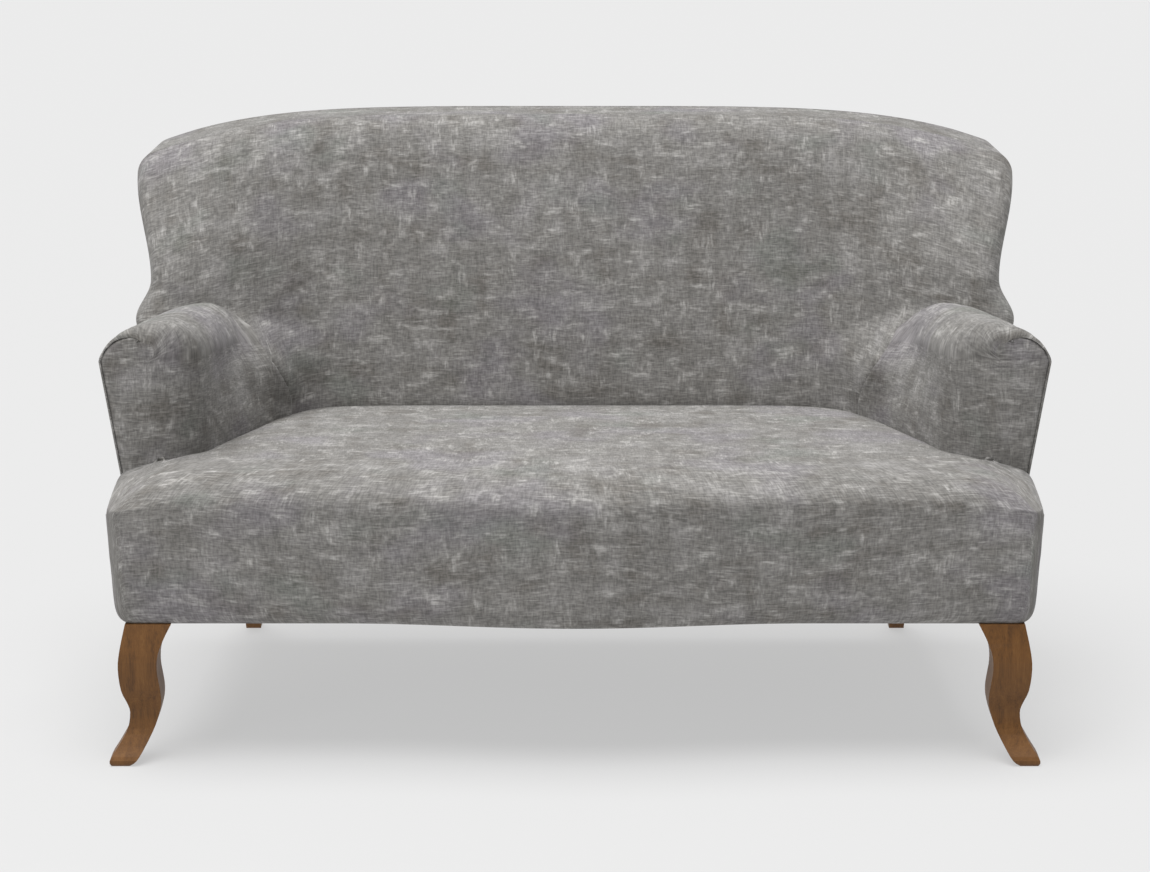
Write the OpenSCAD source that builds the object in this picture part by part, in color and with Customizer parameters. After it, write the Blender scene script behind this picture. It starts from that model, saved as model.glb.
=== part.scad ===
// Cabriole sofa: tight seat with a bowed front, rolled arms that flow into a winged, arched back, and
// cabriole front legs sawn two ways. Millimetres, front towards -Y, origin on the floor mid-footprint.
// Depths are written from the seat's front corners backwards; in_frame() moves them to the origin.

/* [Overall] */
// Width over the arms
overall_w = 1520; // [1440:5:1700]
// Depth from the bowed front to the outside back
overall_d = 830; // [800:5:880]
// Height to the top of the back
overall_h = 933; // [910:1:980]
// Height of the legs, which is the clear height under the frame
leg_h = 227; // [205:1:245]

/* [Seat] */
// Distance of each end of the seat front from the arms' widest line
seat_inset = 22; // [10:1:40]
// Fall of the seat from its crown to the back
seat_fall = 11; // [4:1:20]
// Height of the front border, from the underside to the top seam
border_h = 178; // [160:1:190]
// Rise of the seat from its top seam to its crown near the front
edge_rise = 65; // [55:1:75]
// Forward bow of the seat front at the middle
front_bow = 30; // [15:1:40]
// Width of the bow
bow_w = 740; // [600:10:900]
// How far each side of the seat front draws in at its foot
seat_draw_in = 20; // [8:1:26]
// Run of the seat's rounded front edge, front to back
front_round_d = 90; // [70:1:110]
// Run of the rounded top at each end of the seat front
end_round_w = 75; // [60:1:90]
// Radius of the upright corners of the seat front
seat_corner_r = 14; // [10:1:20]
// Puff of the seat front between its edges
front_puff = 5; // [0:1:8]
// Drop of the seat where it meets an arm
seat_side_drop = 10; // [4:1:16]

/* [Arms] */
// Distance from the seat front to the arm fronts
arm_setback = 150; // [130:1:170]
// Height of the arms at the front
arm_h = 688; // [670:1:710]
// Fall of the arms from front to back
arm_fall = 69; // [50:1:85]
// Rise of the arm roll above its widest line
arm_roll_h = 68; // [60:1:76]
// Width of the arm roll at the front
arm_roll_w = 148; // [136:1:156]
// Width of the arm roll at the inside back
arm_roll_back_w = 181; // [165:1:190]
// Width of an arm at the seat, from its widest line to its inside, at the front
arm_seat_w = 139; // [130:1:150]
// The same width at the inside back
arm_seat_back_w = 278; // [260:1:295]
// How far the outside of an arm leans in at its foot
arm_lean = 63; // [50:1:75]
// How far each side draws in from the arm fronts to the outside back
side_taper = 40; // [30:1:50]
// Round of the arm front at its outer edge
nose_outer_r = 8; // [6:1:10]
// Round of the arm front over the top
nose_top_r = 35; // [28:1:42]
// Round of the arm front towards the seat
nose_inner_r = 70; // [60:1:80]

/* [Back] */
// Depth of the back at the seat, from its inside to its outside at the top
back_seat_d = 264; // [250:1:290]
// Depth of the back at its top, which sets its recline
back_top_d = 128; // [120:1:140]
// Lean of the outside back over its height
rear_lean = 80; // [60:1:90]
// Reach of the wings in front of the inside back, at arm height
wing_reach = 125; // [100:1:135]
// Reach of the wings at the top
wing_top_reach = 40; // [25:1:60]
// Distance from the arms' widest line at which the wings start
wing_inset = 360; // [320:5:400]
// Width over which a wing comes forward
wing_w = 300; // [260:5:320]
// Height of the waist above the arm's widest line
waist_rise = 60; // [50:1:75]
// How far the outline draws in at the waist
waist_in = 24; // [15:1:32]
// Height of the flare above the waist
flare_rise = 170; // [150:1:190]
// How far the outline flares above the waist
flare_out = 37; // [25:1:45]
// Drop of the arched top at the wings
arch_drop = 64; // [45:1:75]
// Radius of the top corners
top_corner_r = 20; // [14:1:26]
// Radius of the rolled front edge of the back
back_edge_r = 35; // [28:1:40]
// Crown of the inside back
back_crown = 12; // [4:1:16]
// Depth of the back stuffing, from the face to the webbing
back_pad = 85; // [75:1:95]

/* [Covers] */
// Thickness of a cover with its wadding
cover_t = 5; // [4:0.5:6]
// Gap that a soft piece keeps to its neighbours
soft_gap = 0.3; // [0.2:0.05:0.5]
// Thickness of the hessian
hessian_t = 1.2; // [0.8:0.1:2]
// Thickness of the webbing
webbing_t = 2; // [1.5:0.1:2.5]
// Width of a webbing strip
webbing_w = 50; // [40:1:60]
// Thickness of the base cloth
base_cloth_t = 0.8; // [0.5:0.1:1]

/* [Frame] */
// Height of the seat rails
rail_h = 95; // [85:1:100]
// Thickness of the rails and boards
rail_t = 28; // [24:1:30]
// Padding between the front rail and its cover
front_pad_t = 15; // [12:1:18]
// Thickness of a back post
post_t = 30; // [26:1:32]
// Height of the tack rails
tack_rail_h = 60; // [45:1:65]
// Gap under the tack rails, through which the covers are pulled
pull_gap = 20; // [12:1:25]
// Height of the arched top rail
top_rail_h = 80; // [65:1:90]
// Padding over the top rail
top_pad = 30; // [25:1:40]
// Width of an arm top rail
arm_rail_w = 50; // [42:1:54]
// Thickness of an arm front board
arm_board_t = 22; // [18:1:25]
// Thickness of the stuffing inside an arm
arm_pad = 45; // [40:1:48]
// Width of a back slat
slat_w = 60; // [45:1:70]
// Thickness of a back slat
slat_t = 12; // [9:0.5:15]
// Length of the legs of a corner block
block_l = 110; // [90:1:130]
// Height of a corner block
block_h = 45; // [35:1:60]
// Diameter of a frame dowel
dowel_d = 10; // [8:0.5:12]
// Length of a frame dowel
dowel_l = 40; // [34:1:42]
// Clearance round dowels, bolts and inserts
fit_gap = 0.1; // [0.05:0.05:0.2]

/* [Legs] */
// Width of a front leg at its top
leg_w = 73; // [66:1:76]
// Inset of the front legs from the foot of the seat front
leg_inset = 6; // [4:1:12]
// Width of a rear leg at its top
rear_leg_w = 46; // [40:1:50]
// Rake of the rear legs
rear_leg_rake = 68; // [50:1:75]
// Distance of each rear leg from the arms' widest line
rear_leg_inset = 185; // [170:1:220]
// Diameter of a leg bolt
bolt_d = 8; // [6:0.5:9]
// Length of a leg bolt
bolt_l = 80; // [70:1:90]
// Outer diameter of a threaded insert
insert_d = 12; // [11:0.5:13]
// Length of a threaded insert
insert_l = 16; // [12:1:20]

/* [Springs] */
// Number of zigzag springs
spring_count = 9; // [7:1:11]
// Diameter of the spring wire
spring_d = 3.8; // [3:0.1:4]
// Width of a spring
spring_w = 50; // [44:1:54]
// Distance of the outer springs from the side rails
spring_inset = 66; // [50:1:80]
// Length taken by one bend of a spring
spring_pitch = 36; // [32:1:44]
// Diameter of a tie wire
tie_d = 2.5; // [2:0.1:3]
// Thickness of a spring clip's strip
clip_t = 1.5; // [1.2:0.1:2]

/* [Hidden] */
$fn = 32;

fabric = "#75716c";
stuffing = "#e8dfc4";
timber = "#cfae7c";
walnut = "#7a5230";
steel = "#9aa0a6";
jute = "#b09568";

// Overrun of a cut past the face that it leaves
over = 2;
half_w = overall_w / 2;
body_d = overall_d - front_bow;
seam_z = leg_h + border_h;
seat_h = seam_z + edge_rise;
seat_w = overall_w - 2 * seat_inset;
seat_d = body_d - back_seat_d;
seat_back_z = seat_h - seat_fall;
back_slope = (back_seat_d - back_top_d) / (overall_h - seat_back_z);
wing_start = half_w - wing_inset;
rear_leg_x = half_w - rear_leg_inset;
rail_top = leg_h + rail_h;
spring_z = rail_top + clip_t;
hessian_z = spring_z + spring_d + clip_t + soft_gap;
deck_z = hessian_z + hessian_t + soft_gap;
tack_low = deck_z + pull_gap;
tack_top = tack_low + tack_rail_h;
arm_mid_front = arm_h - arm_roll_h;
waist_z = arm_mid_front + waist_rise;
flare_z = waist_z + flare_rise;
skin = cover_t + soft_gap;
// Depth behind the seat at which the back's side outline is taken
edge_lag = 60;
edge_y = seat_d + edge_lag;

// Shaping helpers
function ramp(t) = min(1, max(0, t));
function smooth(t) = let (c = ramp(t)) c * c * (3 - 2 * c);
function mix(a, b, t) = a + (b - a) * t;
function round_in(r, d) = d >= r ? 0 : r - sqrt(r * r - (r - d) * (r - d));
function flat(rows) = [for (row = rows) each row];

// The seat front in plan: a bow in the middle that runs out flat to the corners
function bow(x) = -front_bow * (1 + cos(180 * min(1, abs(x) * 2 / bow_w))) / 2;

// Half width of the body in front view, at the arm fronts: leaning outside arm, waist, flare
function body_half(z) =
    half_w - arm_lean * max(0, arm_mid_front - z) / (arm_mid_front - leg_h)
    - waist_in * smooth((z - arm_mid_front) / waist_rise)
    + flare_out * smooth((z - waist_z) / flare_rise);
taper_y = arm_setback + nose_outer_r;
function outer_x(z, y) = body_half(z) - side_taper * max(0, y - taper_y) / (body_d - taper_y);

// The outside back leans, and its top is an arch with small corners
function rear_y(z) = body_d - rear_lean * (overall_h - z) / (overall_h - leg_h);
edge_half = outer_x(flare_z, edge_y);
arch_power_share = 4.5;
function arch_z(x) = overall_h - arch_drop * pow(abs(x) / edge_half, arch_power_share);
function top_z(x) =
    arch_z(x) - round_in(top_corner_r, edge_half - min(edge_half, abs(x)));

// The inside back: reclined, crowned, and brought forward in two wings
function wing(z) = mix(wing_reach, wing_top_reach, smooth((z - waist_z) / (overall_h - waist_z)));
function crown(x, z) =
    back_crown * sin(180 * ramp((z - seat_back_z) / (overall_h - seat_back_z)))
    * (1 - smooth(abs(x) / edge_half));
function back_front(x, z) =
    seat_d + max(0, z - seat_back_z) * back_slope - crown(x, z)
    - wing(z) * smooth((abs(x) - wing_start) / wing_w);
function web_y(z) = seat_d + (z - seat_back_z) * back_slope + back_pad;

// The arms fall, narrow in and widen on their way back
function arm_share(y) = (y - arm_setback) / (seat_d - arm_setback);
function arm_mid(y) = arm_mid_front - arm_fall * (y - arm_setback) / (body_d - arm_setback);
function roll_w(y) = mix(arm_roll_w, arm_roll_back_w, arm_share(y));
function between_half(y) = half_w - mix(arm_seat_w, arm_seat_back_w, arm_share(y));
arm_rail_z = arm_mid(seat_d) - pull_gap;

module in_frame() {
    translate([0, front_bow - overall_d / 2, 0]) children();
}

// A closed skin between an outer and an inner grid of points, rows by columns. Seen from outside, the
// columns of the outer grid run to the right and its rows run upwards.
module slab(outer, inner) {
    m = len(outer);
    n = len(outer[0]);
    total = m * n;
    face = [for (i = [0:m - 2], j = [0:n - 2])
        let (a = i * n + j)
        each [[a + n + 1, a + 1, a], [a + n, a + n + 1, a]]];
    back = [for (f = face) [f[2] + total, f[1] + total, f[0] + total]];
    ends = [for (j = [0:n - 2])
        let (b = (m - 1) * n + j)
        each [
            [j + 1, j + total, j], [j + total + 1, j + total, j + 1],
            [b + total, b + 1, b], [b + total, b + total + 1, b + 1]
        ]];
    sides = [for (i = [0:m - 2])
        let (c = i * n, d = i * n + n - 1)
        each [
            [c + total, c + n, c], [c + total, c + n + total, c + n],
            [d + n, d + total, d], [d + n + total, d + total, d + n]
        ]];
    polyhedron(points = concat(flat(outer), flat(inner)), faces = concat(face, back, ends, sides));
}

// Outlines drawn in front view and in side view, carried right through the body
module front_view(outline) {
    translate([0, body_d + over, 0]) rotate([90, 0, 0])
        linear_extrude(overall_d + 2 * over) polygon(outline);
}
module side_view(outline) {
    rotate([90, 0, 90]) linear_extrude(overall_w, center = true) polygon(outline);
}
module two_way(front, side) {
    intersection() {
        front_view(front);
        side_view(side);
    }
}
module plan(outline, low, high) {
    translate([0, 0, low]) linear_extrude(high - low) polygon(outline);
}
module left_of() {
    mirror([1, 0, 0]) children();
}

// Seat: every row is a U in plan that runs from the arm front, round both corners and across the bow
foot_r = seat_corner_r;
corner_lap = nose_outer_r / 4;
corner_steps = 3;
front_steps = 18;
seat_columns = front_steps + 2 * corner_steps + 2;
foot_height_shares = [0, 0.35, 1];
foot_inset_shares = [0.5, 0.12, 0];
round_steps = 5;
top_shares = [0.35, 0.7];
nose_shares = [0, 0.03, 0.1, 0.22, 0.42, 0.68, 1];
nose_depth_shares = [for (s = nose_shares) if (s > nose_shares[1]) s];
seat_depth_shares = [0.35, 0.7, 1];
puff_share = 0.6;
top_corner_r_seat = front_round_d / 2;
flat_half = seat_w / 2 - end_round_w;

function front_half(z) = seat_w / 2 - seat_draw_in * max(0, seam_z - z) / border_h;
function front_in(z) = front_puff * (1 - smooth((z - leg_h) / (border_h * puff_share)));
function narrow_half(y) =
    between_half(y) + round_in(nose_inner_r, y - arm_setback) - soft_gap;
line_half = min(flat_half - end_round_w / 8, narrow_half(arm_setback + nose_inner_r * nose_depth_shares[0]));
function seat_z(y) = seat_h - seat_fall * smooth((y - front_round_d) / (seat_d - front_round_d));

// A wall row is [height, inset at the foot]; the foam starts at the deck
function wall_rows(low) = concat(
    low > leg_h
    ? [[low, 0]]
    : [for (i = [0:2]) [leg_h + foot_r * foot_height_shares[i], foot_r * foot_inset_shares[i]]],
    [[mix(max(low, leg_h + foot_r), seam_z, 0.5), 0], [seam_z - soft_gap * 3, 0]]
);

function u_path(j, half, front, r, end, fade) =
    j > seat_columns / 2
    ? let (p = u_path(seat_columns - j, half, front, r, end, fade)) [-p[0], p[1]]
    : j == 0 ? [-half, end]
    : j <= corner_steps + 1
    ? let (a = 90 * (j - 1) / corner_steps) [-half + r * (1 - cos(a)), front + r * (1 - sin(a))]
    : let (x = (2 * (j - corner_steps - 1) / front_steps - 1) * (half - r))
        [x, front + bow(x) * fade];
corner_share = 0.0125;
function column_share(j) =
    j > seat_columns / 2
    ? -column_share(seat_columns - j)
    : j <= corner_steps + 1
    ? -1 + j * corner_share
    : (2 * (j - corner_steps - 1) / front_steps - 1) * (1 - (corner_steps + 1) * corner_share);

function seat_meet(s, y, n) =
    n == 0 ? y : seat_meet(s, back_face(s * narrow_half(y), seat_back_z) - soft_gap, n - 1);
function side_drop(s) = seat_side_drop * pow(abs(s), 8);

function seat_front_rows(low, t) = concat(
    [for (w = wall_rows(low))
        let (
            front = front_in(w[0]) + w[1] + t,
            r = seat_corner_r - t,
            end = low > leg_h ? arm_setback - soft_gap : front + r + corner_lap
        )
        [for (j = [0:seat_columns])
            let (p = u_path(j, front_half(w[0]) - w[1] - t, front, r, end, 1))
            [p[0], p[1], w[0]]]],
    [for (i = [0:round_steps])
        let (
            a = 90 * i / round_steps,
            half = seat_w / 2 - t - (end_round_w - t) * (1 - cos(a)),
            front = t + (front_round_d - t) * (1 - cos(a)),
            r = mix(seat_corner_r - t, top_corner_r_seat, i / round_steps)
        )
        [for (j = [0:seat_columns])
            let (p = u_path(j, half, front, r, arm_setback - soft_gap, 1))
            [p[0], p[1], seam_z + (edge_rise - t) * sin(a)]]],
    [for (w = top_shares)
        let (
            half = mix(flat_half, line_half, w),
            front = mix(front_round_d, arm_setback - soft_gap, w),
            r = top_corner_r_seat * (1 - w)
        )
        [for (j = [0:seat_columns])
            let (p = u_path(j, half, front, r, arm_setback - soft_gap, 1 - w))
            [p[0], p[1], seat_z(p[1]) - t - side_drop(column_share(j)) * w / 2]]]
);
function seat_rear_rows(t) = concat(
    [[for (j = [0:seat_columns])
        let (s = column_share(j))
        [s * min(flat_half, narrow_half(arm_setback)), arm_setback - soft_gap,
            seat_z(arm_setback) - t - side_drop(s) / 2]]],
    [for (d = nose_depth_shares)
        let (y = arm_setback + nose_inner_r * d)
        [for (j = [0:seat_columns])
            let (s = column_share(j))
            [s * narrow_half(y), y, seat_z(y) - t - side_drop(s) * (1 + d) / 2]]],
    [for (d = seat_depth_shares)
        [for (j = [0:seat_columns])
            let (
                s = column_share(j),
                y = mix(arm_setback + nose_inner_r, seat_meet(s, seat_d, 4), d)
            )
            [s * narrow_half(y), y, seat_z(y) - t - side_drop(s)]]]
);
function seat_grid(low, t) = concat(seat_front_rows(low, t), seat_rear_rows(t));
// The underside of the seat foam: its rows close in from the front edge to the arm fronts
function seat_under(low, t) =
    let (
        front = seat_front_rows(low, t),
        rear = seat_rear_rows(t),
        m = len(front)
    )
    concat(
        [for (k = [0:m - 1])
            [for (j = [0:seat_columns])
                let (w = (k + 0.5) / (m + 0.5))
                [
                    mix(front[0][j][0], rear[0][j][0], w),
                    mix(front[0][j][1], rear[0][j][1], w) - cover_t * w * (1 - w),
                    low
                ]]],
        [for (row = rear) [for (p = row) [p[0], p[1], low]]]
    );

module seat_cover() {
    color(fabric) in_frame() slab(seat_grid(leg_h, 0), seat_grid(leg_h, cover_t));
}
module seat_foam() {
    color(stuffing) in_frame() slab(seat_grid(deck_z, skin), seat_under(deck_z, skin));
}

// The panel below the seam at each end of the seat front
panel_shares = [0, 0.5, 1];
function side_panel_grid(t) =
    [for (w = wall_rows(leg_h))
        let (start = front_in(w[0]) + w[1] + seat_corner_r + corner_lap + soft_gap)
        [for (s = panel_shares)
            [front_half(w[0]) - w[1] - t, mix(start, arm_setback - soft_gap, s), w[0]]]];
module seat_side_panel_left() {
    color(fabric) in_frame() left_of() slab(side_panel_grid(0), side_panel_grid(cover_t));
}
module seat_side_panel_right() {
    color(fabric) in_frame() slab(side_panel_grid(0), side_panel_grid(cover_t));
}

// Back: columns across and rows upwards, with the rolled edge in finer steps
middle_steps = 3;
wing_steps = 7;
back_steps = 2 * (middle_steps + wing_steps);
rise_steps = 14;
edge_angles = [0, 22, 45, 68];
edge_count = len(edge_angles);
back_columns = back_steps + 2 * edge_count;
back_rows = rise_steps + edge_count;
tuck_rise = cover_t * 6;
back_foot = tack_top + soft_gap;

// Depth of the rolled edge of the wings, and the half width of the cover along it
function edge_depth(z) = back_front(edge_half, z) + back_edge_r;
function side_half(z) =
    outer_x(z, edge_depth(z)) - skin * (1 - smooth((z - arm_mid(edge_depth(z))) / tuck_rise));
// The inside back as it is built, straight from column to column
function back_line(x, z) =
    lookup(abs(x), [for (k = [0:back_steps / 2])
        let (c = inner_x(k, side_half(z) - back_edge_r)) [c, back_front(c, z)]]);
function back_face(x, z) =
    abs(x) < side_half(z) - back_edge_r ? back_line(x, z) : back_front(x, z);
function column_angle(i) =
    i < edge_count ? edge_angles[i] : i > back_columns - edge_count ? edge_angles[back_columns - i] : 90;
function row_angle(j) = j > rise_steps ? edge_angles[back_rows - j] : 90;
function column_x(i, half, t) =
    let (a = column_angle(i), side = i < back_columns / 2 ? -1 : 1)
    a < 90
    ? side * (half - t - (back_edge_r - t) * (1 - cos(a)))
    : side * inner_x(abs(i - back_columns / 2), half - back_edge_r);
// Columns are wide over the flat middle and close over the wings
function inner_x(k, half) =
    k <= middle_steps
    ? wing_start * k / middle_steps
    : mix(wing_start, half, (k - middle_steps) / wing_steps);
function back_z(i, j, low, t) =
    let (top = top_z(column_x(i, edge_half, 0)), a = row_angle(j))
    a < 90
    ? top - t - (back_edge_r - t) * (1 - cos(a))
    : mix(low, top - back_edge_r, j / rise_steps);
function edge_in(i, j) =
    1 - sqrt(max(0, 1 - pow(cos(column_angle(i)), 2) - pow(cos(row_angle(j)), 2)));
function back_grid(low, t) =
    [for (j = [0:back_rows])
        [for (i = [0:back_columns])
            let (z = back_z(i, j, low, t), x = column_x(i, side_half(z), t))
            [x, back_front(x, z) + t + (back_edge_r - t) * edge_in(i, j), z]]];
layer_t = webbing_t + hessian_t + 3 * soft_gap;
pocket_gap = 2 * soft_gap;
// The back of the stuffing follows the webbing, then runs over the top rail to the outside back
function back_under(low, t) =
    let (grid = back_grid(low, t))
    [for (j = [0:back_rows])
        [for (i = [0:back_columns])
            let (
                z = j == rise_steps ? top_z(column_x(i, edge_half, 0)) - top_pad + cover_t : grid[j][i][2],
                y = j > rise_steps ? rear_y(z - cover_t) - skin - soft_gap : web_y(z) - layer_t
            )
            [column_x(i, side_half(z) + outer_x(z, y) - outer_x(z, edge_depth(z)), t), y, z]]];

module back_cover() {
    color(fabric) in_frame() difference() {
        slab(back_grid(back_foot, 0), back_grid(back_foot, cover_t));
        arm_rail_shape(pocket_gap);
        left_of() arm_rail_shape(pocket_gap);
    }
}
module back_foam() {
    color(stuffing) in_frame() difference() {
        slab(back_grid(back_foot, skin), back_under(back_foot, skin));
        arm_rail_shape(pocket_gap);
        left_of() arm_rail_shape(pocket_gap);
    }
}

// The border runs up one wing, over the arch and down the other wing
border_shares = [0, 0.5, 1];
function edge_z(j) = mix(back_foot, top_z(edge_half) - back_edge_r, j / rise_steps);
border_levels = concat(
    [for (j = [0:rise_steps]) if (edge_z(j) > arm_mid(edge_depth(seat_back_z)) + cover_t) edge_z(j)],
    upside([for (a = edge_angles) if (a > 0) top_z(edge_half) - back_edge_r * (1 - cos(a))])
);
function side_point(side, z, s, t) =
    let (
        front = back_front(side_half(z), z) + back_edge_r + soft_gap,
        y = mix(front, rear_y(z - cover_t) - skin, s)
    )
    [side * (outer_x(z, y) - t), y, z];
function border_foot(s, z = border_levels[0], n = 3) =
    n == 0 ? z : border_foot(s, arm_mid(side_point(1, z, s, 0)[1]) + soft_gap, n - 1);
function top_point(i, s, t) =
    let (
        z = top_z(column_x(i, edge_half, 0)),
        front_half = side_half(z),
        front = back_front(column_x(i, front_half, 0), z) + back_edge_r + soft_gap,
        y = mix(front, rear_y(z - cover_t) - skin, s)
    )
    [column_x(i, mix(front_half, outer_x(flare_z, rear_y(z)), s), t), y, z - t];
function border_path(s, t) = concat(
    [side_point(-1, border_foot(s), s, t)],
    [for (z = border_levels) side_point(-1, z, s, t)],
    [for (i = [0:back_columns]) top_point(i, s, t)],
    upside([for (z = border_levels) side_point(1, z, s, t)]),
    [side_point(1, border_foot(s), s, t)]
);
function upside(list) = [for (i = [len(list) - 1:-1:0]) list[i]];
module back_border() {
    color(fabric) in_frame() slab(
        [for (s = border_shares) border_path(s, 0)],
        [for (s = border_shares) border_path(s, cover_t)]
    );
}

// The outside back is flat and leans; its outline is the body's own, drawn in by the side taper
rear_levels = concat([leg_h], [for (j = [0:rise_steps]) edge_z(j)]);
module outside_back() {
    side = [for (z = rear_levels) [outer_x(z, rear_y(z)), z]];
    color(fabric) in_frame() two_way(
        concat(
            side,
            [for (i = [back_columns:-1:0])
                let (z = top_z(column_x(i, edge_half, 0))) [column_x(i, outer_x(flare_z, rear_y(z)), 0), z]],
            upside([for (p = side) [-p[0], p[1]]])
        ),
        [
            [rear_y(leg_h) - cover_t, leg_h], [rear_y(leg_h), leg_h],
            [body_d, overall_h], [body_d - cover_t, overall_h]
        ]
    );
}

// Arm: a path over the roll and down the inside face, carried from the nose back to the inside back
roll_steps = 15;
face_steps = 7;
arm_points = roll_steps + face_steps;
arm_shares = [0.25, 0.5, 0.75, 1];
function nose_r(p) =
    p <= roll_steps / 2
    ? mix(nose_outer_r, nose_top_r, smooth(2 * p / roll_steps))
    : mix(nose_top_r, nose_inner_r, smooth((p - roll_steps / 2) / (arm_points - roll_steps / 2) * 2));
function roll_out(y) = outer_x(arm_mid(y), y);
function face_x(z, y) =
    mix(between_half(y), roll_out(y) - roll_w(y), smooth((z - seat_back_z) / (arm_mid(y) - seat_back_z)));
function arm_xz(p, y, cut) =
    p <= roll_steps
    ? let (a = 180 * p / roll_steps)
        [roll_out(y) - roll_w(y) / 2 + (roll_w(y) / 2 - cut) * cos(a), arm_mid(y) + (arm_roll_h - cut) * sin(a)]
    : let (z = mix(arm_mid(y), deck_z, (p - roll_steps) / face_steps))
        [face_x(z, y) + cut, z];
// Where a point of the arm reaches the inside back, found by stepping back and forth
function edge_back(x, z) =
    let (e = max(0, 1 - max(0, side_half(z) - abs(x)) / back_edge_r))
    back_face(x, z) + back_edge_r * (1 - sqrt(max(0, 1 - e * e)));
function arm_meet(p, cut, y, n) =
    n == 0 ? y : let (q = arm_xz(p, y, cut)) arm_meet(p, cut, edge_back(q[0], q[1]) - 3 * soft_gap, n - 1);
function arm_grid(t, pull) =
    [for (p = [0:arm_points])
        let (end = arm_meet(p, t, seat_d, 5) - pull, r = max(soft_gap, nose_r(p) - t))
        concat(
            [for (s = nose_shares)
                let (d = (nose_inner_r - t) * s, y = arm_setback + t + d, q = arm_xz(p, y, t + round_in(r, d)))
                [q[0], y, q[1]]],
            [for (s = arm_shares)
                let (y = mix(arm_setback + nose_inner_r, end, s), q = arm_xz(p, y, t))
                [q[0], y, q[1]]]
        )];
module arm_cover_right() {
    color(fabric) in_frame() slab(arm_grid(0, 0), arm_grid(cover_t, 0));
}
module arm_cover_left() {
    left_of() arm_cover_right();
}

// The stuffing of an arm lies on the arm's top rail and against its hessian
lining_gap = hessian_t + 2 * soft_gap;
function rail_out(y) = outer_x(arm_rail_z - rail_t, y) - skin - soft_gap;
function lining_x(z, y) =
    mix(
        between_half(y) + skin + arm_pad,
        rail_out(y) - arm_rail_w - lining_gap,
        smooth((z - tack_top - pull_gap) / (arm_rail_z - tack_top - pull_gap))
    );
function foam_under(p, y, front_x, nose) =
    p <= roll_steps
    ? [
        max(mix(outer_x(arm_rail_z, y) - skin - nose, lining_x(arm_rail_z, y), p / roll_steps), front_x),
        arm_rail_z + soft_gap
    ]
    : let (z = mix(arm_rail_z + soft_gap, deck_z, (p - roll_steps) / face_steps))
        [max(lining_x(z, y), front_x), z];
foam_least = cover_t * 1.2;
// How far an arm's stuffing stops short of the inside back
foam_pull = 5;
function under_meet(p, y, n) =
    n == 0
    ? y
    : let (u = foam_under(p, y, 0, 0)) under_meet(p, edge_back(u[0], u[1]) - 2 * foam_pull, n - 1);
function arm_foam_under(t) =
    [for (p = [0:arm_points])
        let (end = under_meet(p, seat_d, 5), r = max(soft_gap, nose_r(p) - t))
        concat(
            [for (s = nose_shares)
                let (
                    d = (nose_inner_r - t) * s,
                    y = arm_setback + t + d,
                    q = arm_xz(p, y, t + round_in(r, d)),
                    u = foam_under(p, y, p < roll_steps / 2 ? 0 : q[0] + foam_least, round_in(r, d))
                )
                [u[0], y, u[1]]],
            [for (s = arm_shares)
                let (y = mix(arm_setback + nose_inner_r, end, s), u = foam_under(p, y, 0, 0))
                [u[0], y, u[1]]]
        )];
module arm_foam_right() {
    color(stuffing) in_frame() slab(arm_grid(skin, foam_pull), arm_foam_under(skin));
}
module arm_foam_left() {
    left_of() arm_foam_right();
}

// The facing closes the arm front inside the turn of the arm cover
facing_low = seam_z - foot_r;
facing_steps = 5;
function facing_outline(g) = concat(
    [for (p = [0:arm_points])
        let (q = arm_xz(p, arm_setback, nose_r(p) + g)) if (q[1] > facing_low) q],
    [[face_x(facing_low, arm_setback) + nose_inner_r + g, facing_low]],
    [for (k = [0:facing_steps - 1])
        let (z = mix(facing_low, arm_mid_front, k / facing_steps))
        [outer_x(z, arm_setback) - nose_outer_r - g, z]]
);
module arm_facing_right() {
    color(fabric) in_frame()
        translate([0, arm_setback + cover_t, 0]) rotate([90, 0, 0])
            linear_extrude(cover_t) polygon(facing_outline(3 * soft_gap));
}
module arm_facing_left() {
    left_of() arm_facing_right();
}

// The outside arm runs from the arm front to the outside back
outside_rows = 5;
outside_shares = [0.33, 0.67, 1];
turn_shares = [0, 0.3, 1];
function outside_grid(t) =
    [for (k = [0:outside_rows])
        concat(
            [for (s = turn_shares)
                let (
                    r = nose_outer_r - t,
                    y = arm_setback + t + r * s,
                    z = mix(leg_h, arm_mid(y) - soft_gap, k / outside_rows)
                )
                [outer_x(z, y) - t - round_in(r, r * s), y, z]],
            [for (s = outside_shares)
                let (
                    rear = rear_y(mix(leg_h, arm_mid(body_d), k / outside_rows)) - skin,
                    y = mix(arm_setback + nose_outer_r, rear, s),
                    z = mix(leg_h, arm_mid(y) - soft_gap, k / outside_rows)
                )
                [outer_x(z, y) - t, y, z]]
        )];
module outside_arm_right() {
    color(fabric) in_frame() slab(outside_grid(0), outside_grid(cover_t));
}
module outside_arm_left() {
    left_of() outside_arm_right();
}

// Hessian inside each arm, between its stuffing and its rails
hessian_shares = [0, 0.5, 1];
function lining_end(z, y, n) = n == 0 ? y : lining_end(z, edge_back(lining_x(z, y), z) - skin, n - 1);
function lining_grid(t) =
    [for (k = [face_steps:-1:0])
        let (z = mix(arm_rail_z + soft_gap, deck_z, k / face_steps), end = lining_end(z, seat_d, 5))
        [for (s = hessian_shares)
            let (y = mix(board_rear + soft_gap, end, s))
            [lining_x(z, y) + t, y, z]]];
module arm_hessian_right() {
    color(jute) in_frame() slab(lining_grid(soft_gap + hessian_t), lining_grid(soft_gap));
}
module arm_hessian_left() {
    left_of() arm_hessian_right();
}

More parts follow.
